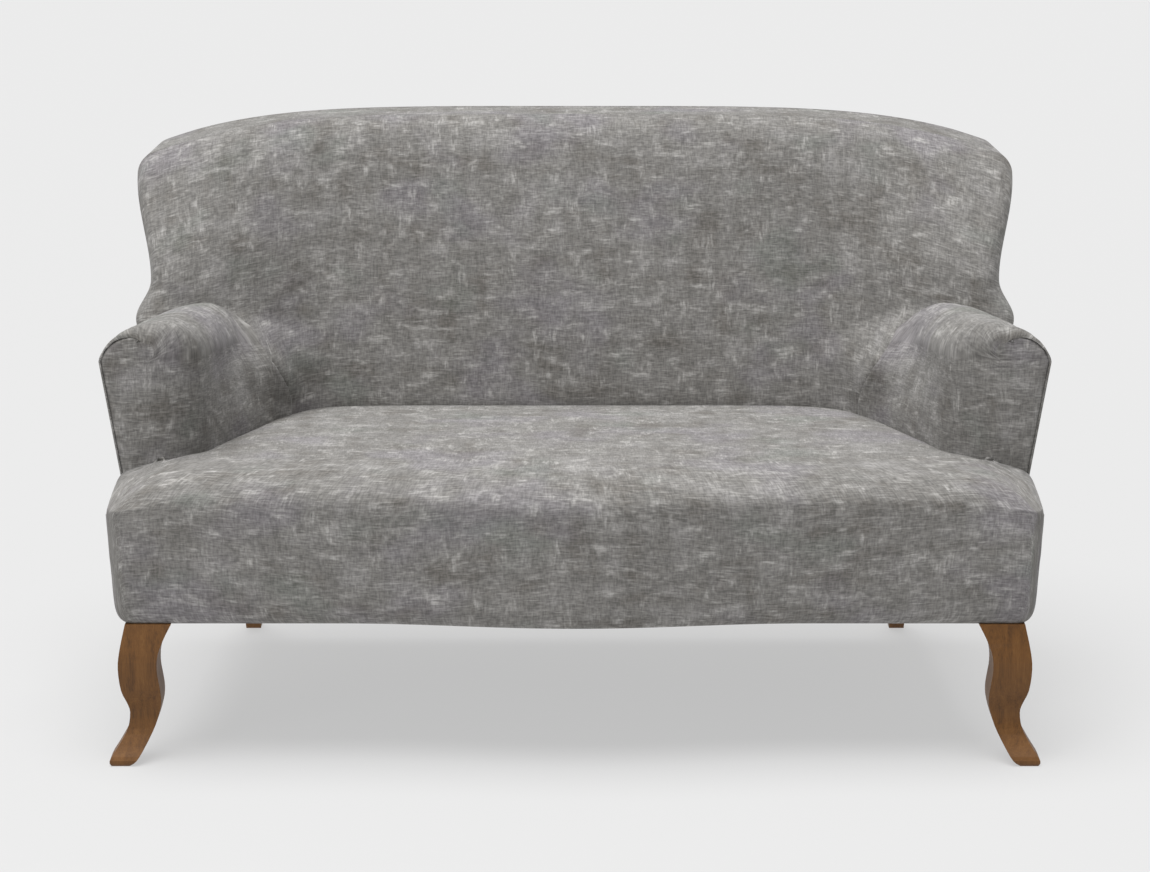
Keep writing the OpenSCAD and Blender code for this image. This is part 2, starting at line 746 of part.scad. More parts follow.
// Seat frame: a serpentine front rail, side rails that follow the taper, and a straight back rail
rail_face = skin + front_pad_t + soft_gap;
rail_rear = rail_face + rail_t;
back_rail_rear = rear_y(leg_h) - cover_t - 2 * soft_gap;
back_rail_face = back_rail_rear - rail_t;
rail_steps = 20;
function frame_half(y) =
    body_half(leg_h) - side_taper * (y - taper_y) / (body_d - taper_y)
    - max(cover_t, nose_outer_r) - 2 * soft_gap;
rail_half = frame_half(rail_rear);
back_rail_half = frame_half(back_rail_rear);
function rail_x(i) = mix(-rail_half, rail_half, i / rail_steps);
function bowed(y, i) = [rail_x(i), y + bow(rail_x(i))];
function side_band(y1, y2, w) = [
    [frame_half(y1) - w, y1], [frame_half(y1), y1], [frame_half(y2), y2], [frame_half(y2) - w, y2]
];

module front_rail_shape() {
    plan(
        concat(
            [for (i = [0:rail_steps]) bowed(rail_face, i)],
            [for (i = [rail_steps:-1:0]) bowed(rail_rear, i)]
        ),
        leg_h, rail_top
    );
}
module front_rail() {
    color(timber) in_frame() difference() {
        front_rail_shape();
        dowels(fit_gap);
        fixings(fit_gap);
    }
}
module back_rail() {
    color(timber) in_frame() difference() {
        translate([-back_rail_half, back_rail_face, leg_h]) cube([2 * back_rail_half, rail_t, rail_h]);
        dowels(fit_gap);
        fixings(fit_gap);
    }
}
module side_rail_right() {
    color(timber) in_frame() difference() {
        plan(side_band(rail_rear, back_rail_face, rail_t), leg_h, rail_top);
        dowels(fit_gap);
    }
}
module side_rail_left() {
    left_of() side_rail_right();
}

stretcher_t = 25;
stretcher_h = 60;
stretcher_rise = 10;
stretcher_z = leg_h + stretcher_rise;
module centre_stretcher() {
    color(timber) in_frame() difference() {
        translate([-stretcher_t / 2, rail_rear - front_bow, stretcher_z])
            cube([stretcher_t, back_rail_face - rail_rear + front_bow, stretcher_h]);
        front_rail_shape();
        dowels(fit_gap);
    }
}

block_z = leg_h + pull_gap;
function block(y, way) = [
    [frame_half(y) - rail_t, y],
    [frame_half(y) - rail_t - block_l, y],
    [frame_half(y + way * block_l) - rail_t, y + way * block_l]
];
module corner_blocks() {
    color(timber) in_frame() for (side = [0, 1]) {
        mirror([side, 0, 0]) plan(block(rail_rear, 1), block_z, block_z + block_h);
        mirror([side, 0, 0]) plan(block(back_rail_face, -1), block_z, block_z + block_h);
    }
}

// Padding over the front rail, shaped like the inside of the cover
pad_rows = concat([for (w = wall_rows(leg_h)) if (w[0] < deck_z) w], [[deck_z, 0]]);
module front_padding() {
    color(stuffing) in_frame() slab(
        [for (w = pad_rows) [for (i = [0:rail_steps])
            let (p = bowed(front_in(w[0]) + w[1] + skin + soft_gap, i)) [p[0], p[1], w[0]]]],
        [for (w = pad_rows) [for (i = [0:rail_steps])
            let (p = bowed(rail_face - soft_gap, i)) [p[0], p[1], w[0]]]]
    );
}

cloth_inset = 15;
module base_cloth() {
    color("#2b2b2b") in_frame() difference() {
        plan(
            concat(
                [for (i = [0:rail_steps])
                    let (p = bowed(rail_face, i)) p],
                [
                    [frame_half(rail_rear), rail_rear],
                    [frame_half(back_rail_rear) - cloth_inset, back_rail_rear - cloth_inset],
                    [cloth_inset - frame_half(back_rail_rear), back_rail_rear - cloth_inset],
                    [-frame_half(rail_rear), rail_rear]
                ]
            ),
            leg_h - base_cloth_t, leg_h
        );
        for (side = [0, 1]) mirror([side, 0, 0]) {
            translate([leg_in_x - over, -front_bow, 0]) cube([leg_w + front_bow, leg_in_y + front_bow + over, leg_h]);
            translate([rear_leg_x - rear_leg_w / 2 - over, rear_leg_y - rear_leg_w / 2 - over, 0])
                cube([rear_leg_w + 2 * over, rear_leg_w + rear_leg_rake, leg_h]);
        }
    }
}

// Back frame: posts sawn to the body's outline, an arched top rail, a tack rail and slats
arch_steps = 20;
under_drop = top_pad + top_rail_h;
function post_out(z) = outer_x(z, rear_y(z)) - skin - soft_gap;
top_rail_half = min([for (drop = [under_drop, top_rail_h, top_pad])
    post_out(arch_z(edge_half - post_t) - drop)]);
function arch_line(drop) =
    [for (i = [0:arch_steps])
        let (x = mix(-top_rail_half, top_rail_half, i / arch_steps)) [x, top_z(x) - drop]];
function frame_band(low, high, front, rear) = [
    [front(low), low], [rear(low), low], [rear(high), high], [front(high), high]
];
post_rear = function (z) rear_y(z) - skin;
web_face = function (z) web_y(z);
rail_back = function (z) web_y(z) + rail_t;
slat_back = function (z) web_y(z) + slat_t;
web_front = function (z) web_y(z) - webbing_t;
sheet_back = function (z) web_y(z) - webbing_t - soft_gap;
sheet_front = function (z) web_y(z) - webbing_t - soft_gap - hessian_t;

post_levels = concat([rail_top], [for (j = [0:rise_steps]) edge_z(j)], [flare_z]);
module under_arch() {
    front_view(concat(
        arch_line(under_drop), [[top_rail_half, leg_h], [-top_rail_half, leg_h]]
    ));
}
module back_post_right() {
    color(timber) in_frame() difference() {
        intersection() {
            two_way(
                concat(
                    [for (z = post_levels) [post_out(z), z]],
                    upside([for (z = post_levels) [post_out(z) - post_t, z]])
                ),
                frame_band(rail_top, flare_z, web_face, post_rear)
            );
            under_arch();
        }
        dowels(fit_gap);
    }
}
module back_post_left() {
    left_of() back_post_right();
}
module top_rail() {
    color(timber) in_frame() difference() {
        two_way(
            concat(arch_line(top_pad), upside(arch_line(under_drop))),
            frame_band(waist_z, overall_h, web_face, post_rear)
        );
        dowels(fit_gap);
    }
}
module back_tack_rail() {
    color(timber) in_frame() difference() {
        two_way(
            [
                [post_out(tack_low) - post_t, tack_low], [post_out(tack_top) - post_t, tack_top],
                [post_t - post_out(tack_top), tack_top], [post_t - post_out(tack_low), tack_low]
            ],
            frame_band(tack_low, tack_top, web_face, rail_back)
        );
        dowels(fit_gap);
    }
}
slat_gap = top_rail_half / 2;
module back_slats() {
    color(timber) in_frame() intersection() {
        for (k = [-1:1])
            two_way(
                [
                    [k * slat_gap - slat_w / 2, tack_top], [k * slat_gap + slat_w / 2, tack_top],
                    [k * slat_gap + slat_w / 2, overall_h], [k * slat_gap - slat_w / 2, overall_h]
                ],
                frame_band(tack_top, overall_h, web_face, slat_back)
            );
        under_arch();
    }
}

// Webbing and hessian lie on the front of the back frame
web_columns = 6;
web_rows = 3;
web_half = wing_start + webbing_w;
sheet_lap = 20;
module back_webbing() {
    color(jute) in_frame() difference() {
        intersection() {
            side_view(frame_band(leg_h, overall_h, web_front, web_face));
            webbing_strips();
        }
        arm_rail_shape(pocket_gap);
        left_of() arm_rail_shape(pocket_gap);
    }
}
module webbing_strips() {
    for (k = [0:web_columns])
        let (x = mix(-web_half, web_half, k / web_columns))
        front_view([
            [x - webbing_w / 2, tack_top - sheet_lap], [x + webbing_w / 2, tack_top - sheet_lap],
            [x + webbing_w / 2, top_z(x) - under_drop + sheet_lap],
            [x - webbing_w / 2, top_z(x) - under_drop + sheet_lap]
        ]);
    for (k = [0:web_rows])
        let (
            z = mix(tack_top + 2 * webbing_w, sheet_high - webbing_w / 2, k / web_rows),
            half = post_out(z) - sheet_lap / 2
        )
        front_view([
            [-half, z - webbing_w / 2], [half, z - webbing_w / 2],
            [half, z + webbing_w / 2], [-half, z + webbing_w / 2]
        ]);
}
sheet_steps = 8;
sheet_low = tack_top + soft_gap;
sheet_high = top_z(edge_half - post_t) - under_drop;
module back_hessian() {
    color(jute) in_frame() difference() {
        two_way(
            concat(
                [for (k = [0:sheet_steps])
                    let (z = mix(sheet_low, sheet_high, k / sheet_steps))
                    [post_out(z) - sheet_lap, z]],
                upside([for (p = arch_line(under_drop - sheet_lap)) if (abs(p[0]) < top_rail_half - post_t) p]),
                [for (k = [sheet_steps:-1:0])
                    let (z = mix(sheet_low, sheet_high, k / sheet_steps))
                    [sheet_lap - post_out(z), z]],
                [
                    [-web_half, sheet_low], [-web_half, tack_top - sheet_lap],
                    [web_half, tack_top - sheet_lap], [web_half, sheet_low]
                ]
            ),
            frame_band(leg_h, overall_h, sheet_front, sheet_back)
        );
        arm_rail_shape(pocket_gap);
        left_of() arm_rail_shape(pocket_gap);
    }
}

// Arm frame: a board behind the facing, a top rail under the roll and a tack rail at the seat
board_face = arm_setback + skin + soft_gap;
board_rear = board_face + arm_board_t;
board_in = between_half(board_face) + skin + arm_pad + lining_gap;
board_nose_x = between_half(arm_setback) + nose_inner_r + foam_least + soft_gap;
board_bevel = 9;
board_steps = 6;
module arm_board_right() {
    color(timber) in_frame() difference() {
        intersection() {
            front_view(concat(
                [for (z = [rail_top, arm_rail_z]) [outer_x(z, board_rear) - skin - soft_gap, z]],
                [for (k = [board_steps:-1:0])
                    let (z = mix(tack_top, arm_rail_z, k / board_steps))
                    [lining_x(z, board_face) + lining_gap, z]],
                [[board_in, rail_top]]
            ));
            plan(
                [
                    [board_nose_x, board_face], [half_w, board_face], [half_w, board_rear],
                    [board_in - over, board_rear], [board_in - over, board_face + board_bevel]
                ],
                rail_top, arm_rail_z
            );
        }
        dowels(fit_gap);
    }
}
module arm_board_left() {
    left_of() arm_board_right();
}
module arm_rail_shape(grow) {
    low = arm_rail_z - rail_t - grow;
    high = arm_rail_z + grow;
    intersection() {
        plan(
            [
                [rail_out(board_rear) + grow, board_rear], [rail_out(body_d) + grow, body_d],
                [rail_out(body_d) - arm_rail_w - grow, body_d],
                [rail_out(board_rear) - arm_rail_w - grow, board_rear]
            ],
            low, high
        );
        side_view([
            [board_rear, low], [web_y(low) + grow, low], [web_y(high) + grow, high], [board_rear, high]
        ]);
    }
}
module arm_top_rail_right() {
    color(timber) in_frame() difference() {
        arm_rail_shape(0);
        dowels(fit_gap);
    }
}
module arm_top_rail_left() {
    left_of() arm_top_rail_right();
}
function tack_in(y) = between_half(y) + skin + arm_pad + lining_gap;
module arm_tack_rail_right() {
    color(timber) in_frame() difference() {
        intersection() {
            plan(
                [
                    [tack_in(board_rear), board_rear], [tack_in(body_d), body_d],
                    [tack_in(body_d) + rail_t, body_d], [tack_in(board_rear) + rail_t, board_rear]
                ],
                tack_low, tack_top
            );
            side_view([
                [board_rear, tack_low], [web_y(tack_low), tack_low],
                [web_y(tack_top), tack_top], [board_rear, tack_top]
            ]);
        }
        dowels(fit_gap);
    }
}
module arm_tack_rail_left() {
    left_of() arm_tack_rail_right();
}

// Dowels as [place, direction] on the right; those at x = 0 are drawn once
corner_rise_shares = [0.45, 0.8];
tack_mid = tack_low + tack_rail_h / 2;
arm_rail_mid = arm_rail_z - rail_t / 2;
side_way = [0, 90, 0];
deep_way = [90, 0, 0];
up_way = [0, 0, 0];
post_foot_x = post_out(rail_top) - post_t + dowel_d;
post_head_x = top_rail_half - post_t / 2;
head_z = top_z(post_head_x) - under_drop;
DOWELS = concat(
    [for (s = corner_rise_shares) [[rail_half - rail_t / 2, rail_rear, leg_h + rail_h * s], deep_way]],
    [for (s = corner_rise_shares)
        [[frame_half(back_rail_face) - rail_t / 2, back_rail_face, leg_h + rail_h * s], deep_way]],
    [
        [[post_foot_x, web_y(rail_top) + rail_t, rail_top], up_way],
        [[post_foot_x, back_rail_face - rail_t, rail_top], up_way],
        [[post_head_x, (web_y(head_z) + rear_y(head_z)) / 2, head_z], up_way],
        [[board_in + dowel_d, board_face + board_bevel + dowel_d / 2, rail_top], up_way],
        [[rail_out(board_rear) - arm_rail_w / 2, board_rear + dowel_l / 8, arm_rail_mid], deep_way],
        [[post_out(arm_rail_mid) - post_t / 2, web_y(arm_rail_mid), arm_rail_mid], deep_way],
        [[board_in + dowel_d, board_rear + dowel_l / 8, tack_mid], deep_way],
        [[tack_in(web_y(tack_mid)) + rail_t / 2, web_y(tack_mid), tack_mid], deep_way],
        [[post_out(tack_mid) - post_t, web_y(tack_mid) + rail_t / 2, tack_mid], side_way]
    ]
);
MIDDLE_DOWELS = [
    [[0, rail_rear - front_bow, stretcher_z + stretcher_h / 2], deep_way],
    [[0, back_rail_face, stretcher_z + stretcher_h / 2], deep_way]
];
module dowel(spot, grow) {
    translate(spot[0]) rotate(spot[1])
        cylinder(d = dowel_d + 2 * grow, h = dowel_l + 2 * grow, center = true);
}
module dowels(grow) {
    for (spot = MIDDLE_DOWELS) dowel(spot, grow);
    for (side = [0, 1], spot = DOWELS) mirror([side, 0, 0]) dowel(spot, grow);
}
module frame_dowels() {
    color(timber) in_frame() dowels(0);
}

// Legs: each key is [height share, outward share of the leg's width], from the inner top corner
outer_shares = [
    [1, 1], [0.82, 1.12], [0.69, 1.16], [0.53, 1.11], [0.42, 0.99], [0.35, 0.945],
    [0.24, 1], [0.13, 1.19], [0.04, 1.37], [0, 1.33]
];
inner_shares = [
    [1, 0], [0.9, 0.16], [0.79, 0.29], [0.68, 0.315], [0.57, 0.274], [0.48, 0.247],
    [0.39, 0.274], [0.26, 0.397], [0.13, 0.6], [0.04, 0.78], [0, 0.945]
];
leg_in_x = front_half(leg_h) - leg_inset - leg_w;
leg_in_y = leg_inset + leg_w;
curve_steps = 3;
// A curve through every key, with its slope at a key taken from the keys on both sides
function through(a, b, c, d, t) =
    b + t * ((c - a) / 2 + t * (a - 5 * b / 2 + 2 * c - d / 2 + t * (3 * (b - c) + d - a) / 2));
function curve(keys) = concat(
    [for (i = [0:len(keys) - 2], k = [0:curve_steps - 1])
        through(
            keys[max(0, i - 1)], keys[i], keys[i + 1], keys[min(len(keys) - 1, i + 2)],
            k / curve_steps
        )],
    [keys[len(keys) - 1]]
);
leg_outer = curve(outer_shares);
leg_inner = curve(inner_shares);
module front_leg_right() {
    color(walnut) in_frame() difference() {
        two_way(
            concat(
                [for (k = leg_outer) [leg_in_x + leg_w * k[1], leg_h * k[0]]],
                upside([for (k = leg_inner) [leg_in_x + leg_w * k[1], leg_h * k[0]]])
            ),
            concat(
                [for (k = leg_outer) [leg_in_y - leg_w * k[1], leg_h * k[0]]],
                upside([for (k = leg_inner) [leg_in_y - leg_w * k[1], leg_h * k[0]]])
            )
        );
        fixings(fit_gap);
    }
}
module front_leg_left() {
    left_of() front_leg_right();
}

// Rear legs: square in section, tapered and swept back
rear_leg_y = back_rail_rear - rear_leg_w / 2;
rear_foot_share = 0.57;
rear_curve_share = 1.6;
rear_steps = 10;
function rear_half(s) = rear_leg_w / 2 * mix(rear_foot_share, 1, s);
function rear_mid(s) = rear_leg_y + rear_leg_rake * pow(1 - s, rear_curve_share);
module rear_leg_right() {
    color(walnut) in_frame() difference() {
        two_way(
            [
                [rear_leg_x - rear_half(0), 0], [rear_leg_x + rear_half(0), 0],
                [rear_leg_x + rear_half(1), leg_h], [rear_leg_x - rear_half(1), leg_h]
            ],
            concat(
                [for (k = [0:rear_steps]) let (s = k / rear_steps) [rear_mid(s) + rear_half(s), leg_h * s]],
                [for (k = [rear_steps:-1:0]) let (s = k / rear_steps) [rear_mid(s) - rear_half(s), leg_h * s]]
            )
        );
        fixings(fit_gap);
    }
}
module rear_leg_left() {
    left_of() rear_leg_right();
}

// Bolts stand in the legs and turn into threaded inserts in the rails
bolt_rise = 30;
BOLTS = [
    [leg_in_x + leg_w / 2, rail_face + rail_t / 2], [-leg_in_x - leg_w / 2, rail_face + rail_t / 2],
    [rear_leg_x, back_rail_face + rail_t / 2], [-rear_leg_x, back_rail_face + rail_t / 2]
];
module bolts(grow) {
    for (b = BOLTS)
        translate([b[0], b[1], leg_h + bolt_rise - bolt_l - grow])
            cylinder(d = bolt_d + 2 * grow, h = bolt_l + 2 * grow);
}
module insert_bodies(grow) {
    for (b = BOLTS)
        translate([b[0], b[1], leg_h - (grow > 0 ? over : 0)])
            cylinder(d = insert_d + 2 * grow, h = insert_l + (grow > 0 ? over + grow : 0));
}
module fixings(grow) {
    bolts(grow);
    intersection() {
        insert_bodies(grow);
        translate([-half_w, -overall_d, leg_h]) cube([overall_w, 2 * overall_d, rail_h]);
    }
}
module leg_bolts() {
    color(steel) in_frame() bolts(0);
}
module leg_inserts() {
    color(steel) in_frame() difference() {
        insert_bodies(0);
        bolts(fit_gap);
    }
}

// Springs: flat zigzags held in clips on the front and back rails
spring_gap = 2 * (frame_half(back_rail_rear) - rail_t - spring_inset) / (spring_count - 1);
clip_w = 36;
clip_lap = 12;
function spring_x(k) = (k - (spring_count - 1) / 2) * spring_gap;
function spring_start(k) = rail_face + rail_t / 2 + bow(spring_x(k));
spring_end = back_rail_face + rail_t / 2;
function spring_bends(k) = 2 * floor((spring_end - spring_start(k)) / spring_pitch / 2);
function turn_side(i) = i % 4 == 1 || i % 4 == 2 ? 1 : -1;
function spring_line(k) =
    let (n = spring_bends(k), step = (spring_end - spring_start(k)) / n, half = (spring_w - spring_d) / 2)
    [for (i = [0:2 * n + 1])
        [spring_x(k) + turn_side(i) * half, spring_start(k) + step * floor(i / 2)]];
function unit(v) = v / norm(v);
function turn_left(v) = [-v[1], v[0]];
function offset_point(line, i, w) =
    let (
        a = unit(line[i] - line[max(0, i - 1)] + (i == 0 ? line[1] - line[0] : [0, 0])),
        b = unit(i == len(line) - 1 ? line[i] - line[i - 1] : line[i + 1] - line[i]),
        m = turn_left(a) + turn_left(b)
    )
    line[i] + m * w / (m * m) * 2;
function band(line, w) = concat(
    [for (i = [0:len(line) - 1]) offset_point(line, i, w / 2)],
    [for (i = [len(line) - 1:-1:0]) offset_point(line, i, -w / 2)]
);
module seat_springs() {
    color(steel) in_frame() for (k = [0:spring_count - 1])
        plan(band(spring_line(k), spring_d), spring_z, spring_z + spring_d);
}
// A clip is a C of strip: it lies on the rail, turns up behind the wire and laps over it
clip_in = fit_gap + spring_d / 2;
module clip(y, way) {
    outline = [
        [-clip_in - clip_t, 0], [clip_lap, 0], [clip_lap, clip_t - fit_gap],
        [-clip_in, clip_t - fit_gap], [-clip_in, clip_t + spring_d + fit_gap],
        [clip_lap / 2, clip_t + spring_d + fit_gap], [clip_lap / 2, 2 * clip_t + spring_d],
        [-clip_in - clip_t, 2 * clip_t + spring_d]
    ];
    translate([0, y, rail_top]) rotate([90, 0, 90])
        linear_extrude(clip_w, center = true) polygon([for (p = outline) [p[0] * way, p[1]]]);
}
module spring_clips() {
    color(steel) in_frame() for (k = [0:spring_count - 1]) {
        translate([spring_x(k), 0, 0]) clip(spring_start(k), 1);
        translate([spring_x(k), 0, 0]) clip(spring_end, -1);
    }
}
tie_shares = [0.35, 0.68];
module spring_tie_wires() {
    color(steel) in_frame() for (s = tie_shares)
        translate([0, mix(rail_rear, back_rail_face, s), spring_z - tie_d / 2])
            rotate([0, 90, 0]) cylinder(d = tie_d, h = spring_gap * (spring_count - 1) + spring_w, center = true);
}
sheet_inset = 2;
module seat_hessian() {
    inner = rail_t - sheet_inset;
    color(jute) in_frame() plan(
        concat(
            [for (i = [0:rail_steps])
                let (x = rail_x(i) * (rail_half - inner) / rail_half) [x, rail_face + clip_lap + bow(x)]],
            [
                [frame_half(back_rail_face) - inner, back_rail_face + clip_lap],
                [inner - frame_half(back_rail_face), back_rail_face + clip_lap]
            ]
        ),
        hessian_z, hessian_z + hessian_t
    );
}

seat_cover();
seat_side_panel_left();
seat_side_panel_right();
back_cover();
back_border();
outside_back();
arm_cover_left();
arm_cover_right();
arm_facing_left();
arm_facing_right();
outside_arm_left();
outside_arm_right();
base_cloth();
seat_foam();
front_padding();
back_foam();
arm_foam_left();
arm_foam_right();
seat_hessian();
back_hessian();
back_webbing();
arm_hessian_left();
arm_hessian_right();
seat_springs();
spring_clips();
spring_tie_wires();
front_rail();
back_rail();
side_rail_left();
side_rail_right();
centre_stretcher();
corner_blocks();
back_post_left();
back_post_right();
top_rail();
back_tack_rail();
back_slats();
arm_board_left();
arm_board_right();
arm_top_rail_left();
arm_top_rail_right();
arm_tack_rail_left();
arm_tack_rail_right();
frame_dowels();
front_leg_left();
front_leg_right();
rear_leg_left();
rear_leg_right();
leg_bolts();
leg_inserts();
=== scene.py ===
import bmesh
import bpy
import math
import time
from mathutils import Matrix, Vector, noise


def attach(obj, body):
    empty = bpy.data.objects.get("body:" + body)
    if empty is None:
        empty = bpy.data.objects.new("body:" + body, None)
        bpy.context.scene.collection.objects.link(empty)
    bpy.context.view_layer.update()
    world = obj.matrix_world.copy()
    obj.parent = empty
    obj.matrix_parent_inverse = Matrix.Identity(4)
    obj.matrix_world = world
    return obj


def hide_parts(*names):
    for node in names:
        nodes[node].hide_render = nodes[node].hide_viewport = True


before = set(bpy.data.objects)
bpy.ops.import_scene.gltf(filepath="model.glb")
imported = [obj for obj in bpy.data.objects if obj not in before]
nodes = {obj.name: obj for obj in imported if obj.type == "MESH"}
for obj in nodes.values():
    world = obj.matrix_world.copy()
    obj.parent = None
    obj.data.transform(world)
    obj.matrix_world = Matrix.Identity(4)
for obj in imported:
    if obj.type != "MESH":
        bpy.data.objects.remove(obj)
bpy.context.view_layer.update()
scene = bpy.context.scene
started = time.time()


def report(stage):
    print(f"{stage}: {time.time() - started:.1f} s")


# Metres. Depths run from the seat's front corners backwards, as the upholsterer measures them
sofa = {
    "half": 0.76,
    "legTop": 0.227,
    "top": 0.933,
    "bodyDepth": 0.8,
    "originDepth": 0.385,  # where the shared frame's origin lies
    "cloth": 0.0045,
    "skin": 0.0053,  # a cover of the CAD with the gap behind it
    "gap": 0.0003,
}
outline = {
    "bowDepth": 0.03,
    "bowWidth": 0.74,
    "armTop": 0.62,
    "armFall": 0.069,
    "footLean": 0.063,
    "waist": 0.024,
    "flareFrom": 0.68,
    "flare": 0.037,
    "flareTop": 0.85,
    "wingDepth": 0.596,
    "taper": 0.04,
    "taperFrom": 0.158,
    "rearLean": 0.08,
    "between": (1.242, 0.964),  # the width between the arms, at their fronts and at the inside back
    "archDrop": 0.064,
    "archPower": 4.5,
    "topCorner": 0.02,
}


def ramp(t):
    return min(1.0, max(0.0, t))


def smooth(t):
    c = ramp(t)
    return c * c * (3 - 2 * c)


def mix(a, b, t):
    return a + (b - a) * t


def roundIn(r, d):
    return 0.0 if d >= r else r - math.sqrt(r * r - (r - d) ** 2)


def steps(count):
    return [k / count for k in range(count + 1)]


# The body's outline: arms that lean in, a waist above them and the flare of the back
def bow(x):
    return -outline["bowDepth"] * (1 + math.cos(math.pi * min(1, abs(x) * 2 / outline["bowWidth"]))) / 2


def bodyHalf(z):
    armTop, flareFrom = outline["armTop"], outline["flareFrom"]
    lean = outline["footLean"] * max(0, armTop - z) / (armTop - sofa["legTop"])
    waist = outline["waist"] * smooth((z - armTop) / (flareFrom - armTop))
    flare = outline["flare"] * smooth((z - flareFrom) / (outline["flareTop"] - flareFrom))
    return sofa["half"] - lean - waist + flare


def outerX(z, y):
    run = max(0, y - outline["taperFrom"]) / (sofa["bodyDepth"] - outline["taperFrom"])
    return bodyHalf(z) - outline["taper"] * run


def rearY(z):
    fall = (sofa["top"] - z) / (sofa["top"] - sofa["legTop"])
    return sofa["bodyDepth"] - outline["rearLean"] * fall


edgeHalf = outerX(outline["flareTop"], outline["wingDepth"])


def topZ(x):
    arch = sofa["top"] - outline["archDrop"] * (abs(x) / edgeHalf) ** outline["archPower"]
    return arch - roundIn(outline["topCorner"], edgeHalf - min(edgeHalf, abs(x)))


def armRun(y, rear):
    # How far back along the arm a depth lies, as a share of the way to its rear
    return (y - seat["armsFrom"]) / (rear - seat["armsFrom"])


def armMid(y):
    return outline["armTop"] - outline["armFall"] * armRun(y, sofa["bodyDepth"])


def betweenHalf(y):
    return mix(*outline["between"], armRun(y, back["depth"])) / 2


def place(x, y, z):
    return Vector((x, y - sofa["originDepth"], z))


# Materials
def linear(code):
    parts = [int(code[k:k + 2], 16) / 255 for k in (1, 3, 5)]
    return tuple(c / 12.92 if c <= 0.04045 else ((c + 0.055) / 1.055) ** 2.4 for c in parts) + (1.0,)


def addNode(tree, kind, settings=None, links=None):
    # Inputs go by name or number and settings by name; a linked node stands for its first output
    node = tree.nodes.new(kind)
    for key, value in (settings or {}).items():
        if isinstance(key, int) or key[0].isupper():
            node.inputs[key].default_value = value
        else:
            setattr(node, key, value)
    for key, source in (links or {}).items():
        tree.links.new(source.outputs[0] if hasattr(source, "outputs") else source, node.inputs[key])
    return node


def newMaterial(name, settings):
    made = bpy.data.materials.new(name)
    made.use_nodes = True
    tree = made.node_tree
    tree.nodes.clear()
    shader = addNode(tree, "ShaderNodeBsdfPrincipled", settings)
    addNode(tree, "ShaderNodeOutputMaterial", links={"Surface": shader})
    return made, tree, shader


# A Mix node's sockets for two colours and their result, and how far apart in the noise two grains start
colourA, colourB, colourOut = 6, 7, 2
grainShift = (3.1, 7.7, 5.3)


def patternsOf(tree, coords, recipe):
    # Grains of real sizes, blends of two of them, and the range over which each one comes to show
    found = {}
    for seed, (name, (size, detail, *rest)) in enumerate(recipe["grains"].items(), 1):
        rough, warp = rest or (0.5, 0.0)
        scaled = addNode(tree, "ShaderNodeMapping", {
            "Location": tuple(seed * shift for shift in grainShift), "Scale": tuple(1 / s for s in size),
        }, {"Vector": coords})
        found[name] = addNode(tree, "ShaderNodeTexNoise", {
            "Scale": 1.0, "Detail": detail, "Roughness": rough, "Distortion": warp,
        }, {"Vector": scaled})
    for name, (first, second, share) in recipe.get("blends", {}).items():
        both = {"A": found[second], "B": found[first]}
        found[name] = addNode(tree, "ShaderNodeMix", {"Factor": share}, both)
    for name, (source, low, high, least, most) in recipe.get("shows", {}).items():
        found[name] = addNode(tree, "ShaderNodeMapRange", {
            "interpolation_type": "SMOOTHSTEP",
            "From Min": low, "From Max": high, "To Min": least, "To Max": most,
        }, {"Value": found[source]})
    return found


def layered(tree, code, coats):
    # One colour, and others laid over it where their patterns show
    below = None
    for pattern, over in coats:
        coat = addNode(tree, "ShaderNodeMix", {
            "data_type": "RGBA", colourA: linear(code), colourB: linear(over),
        }, {"Factor": pattern})
        if below:
            tree.links.new(below, coat.inputs[colourA])
        below = coat.outputs[colourOut]
    return below


def finishFace(tree, shader, colour, height, depth, strength):
    # The colour, and a relief of this depth in metres
    raised = addNode(tree, "ShaderNodeBump", {"Distance": depth, "Strength": strength}, {"Height": height})
    tree.links.new(colour, shader.inputs["Base Color"])
    tree.links.new(raised.outputs[0], shader.inputs["Normal"])


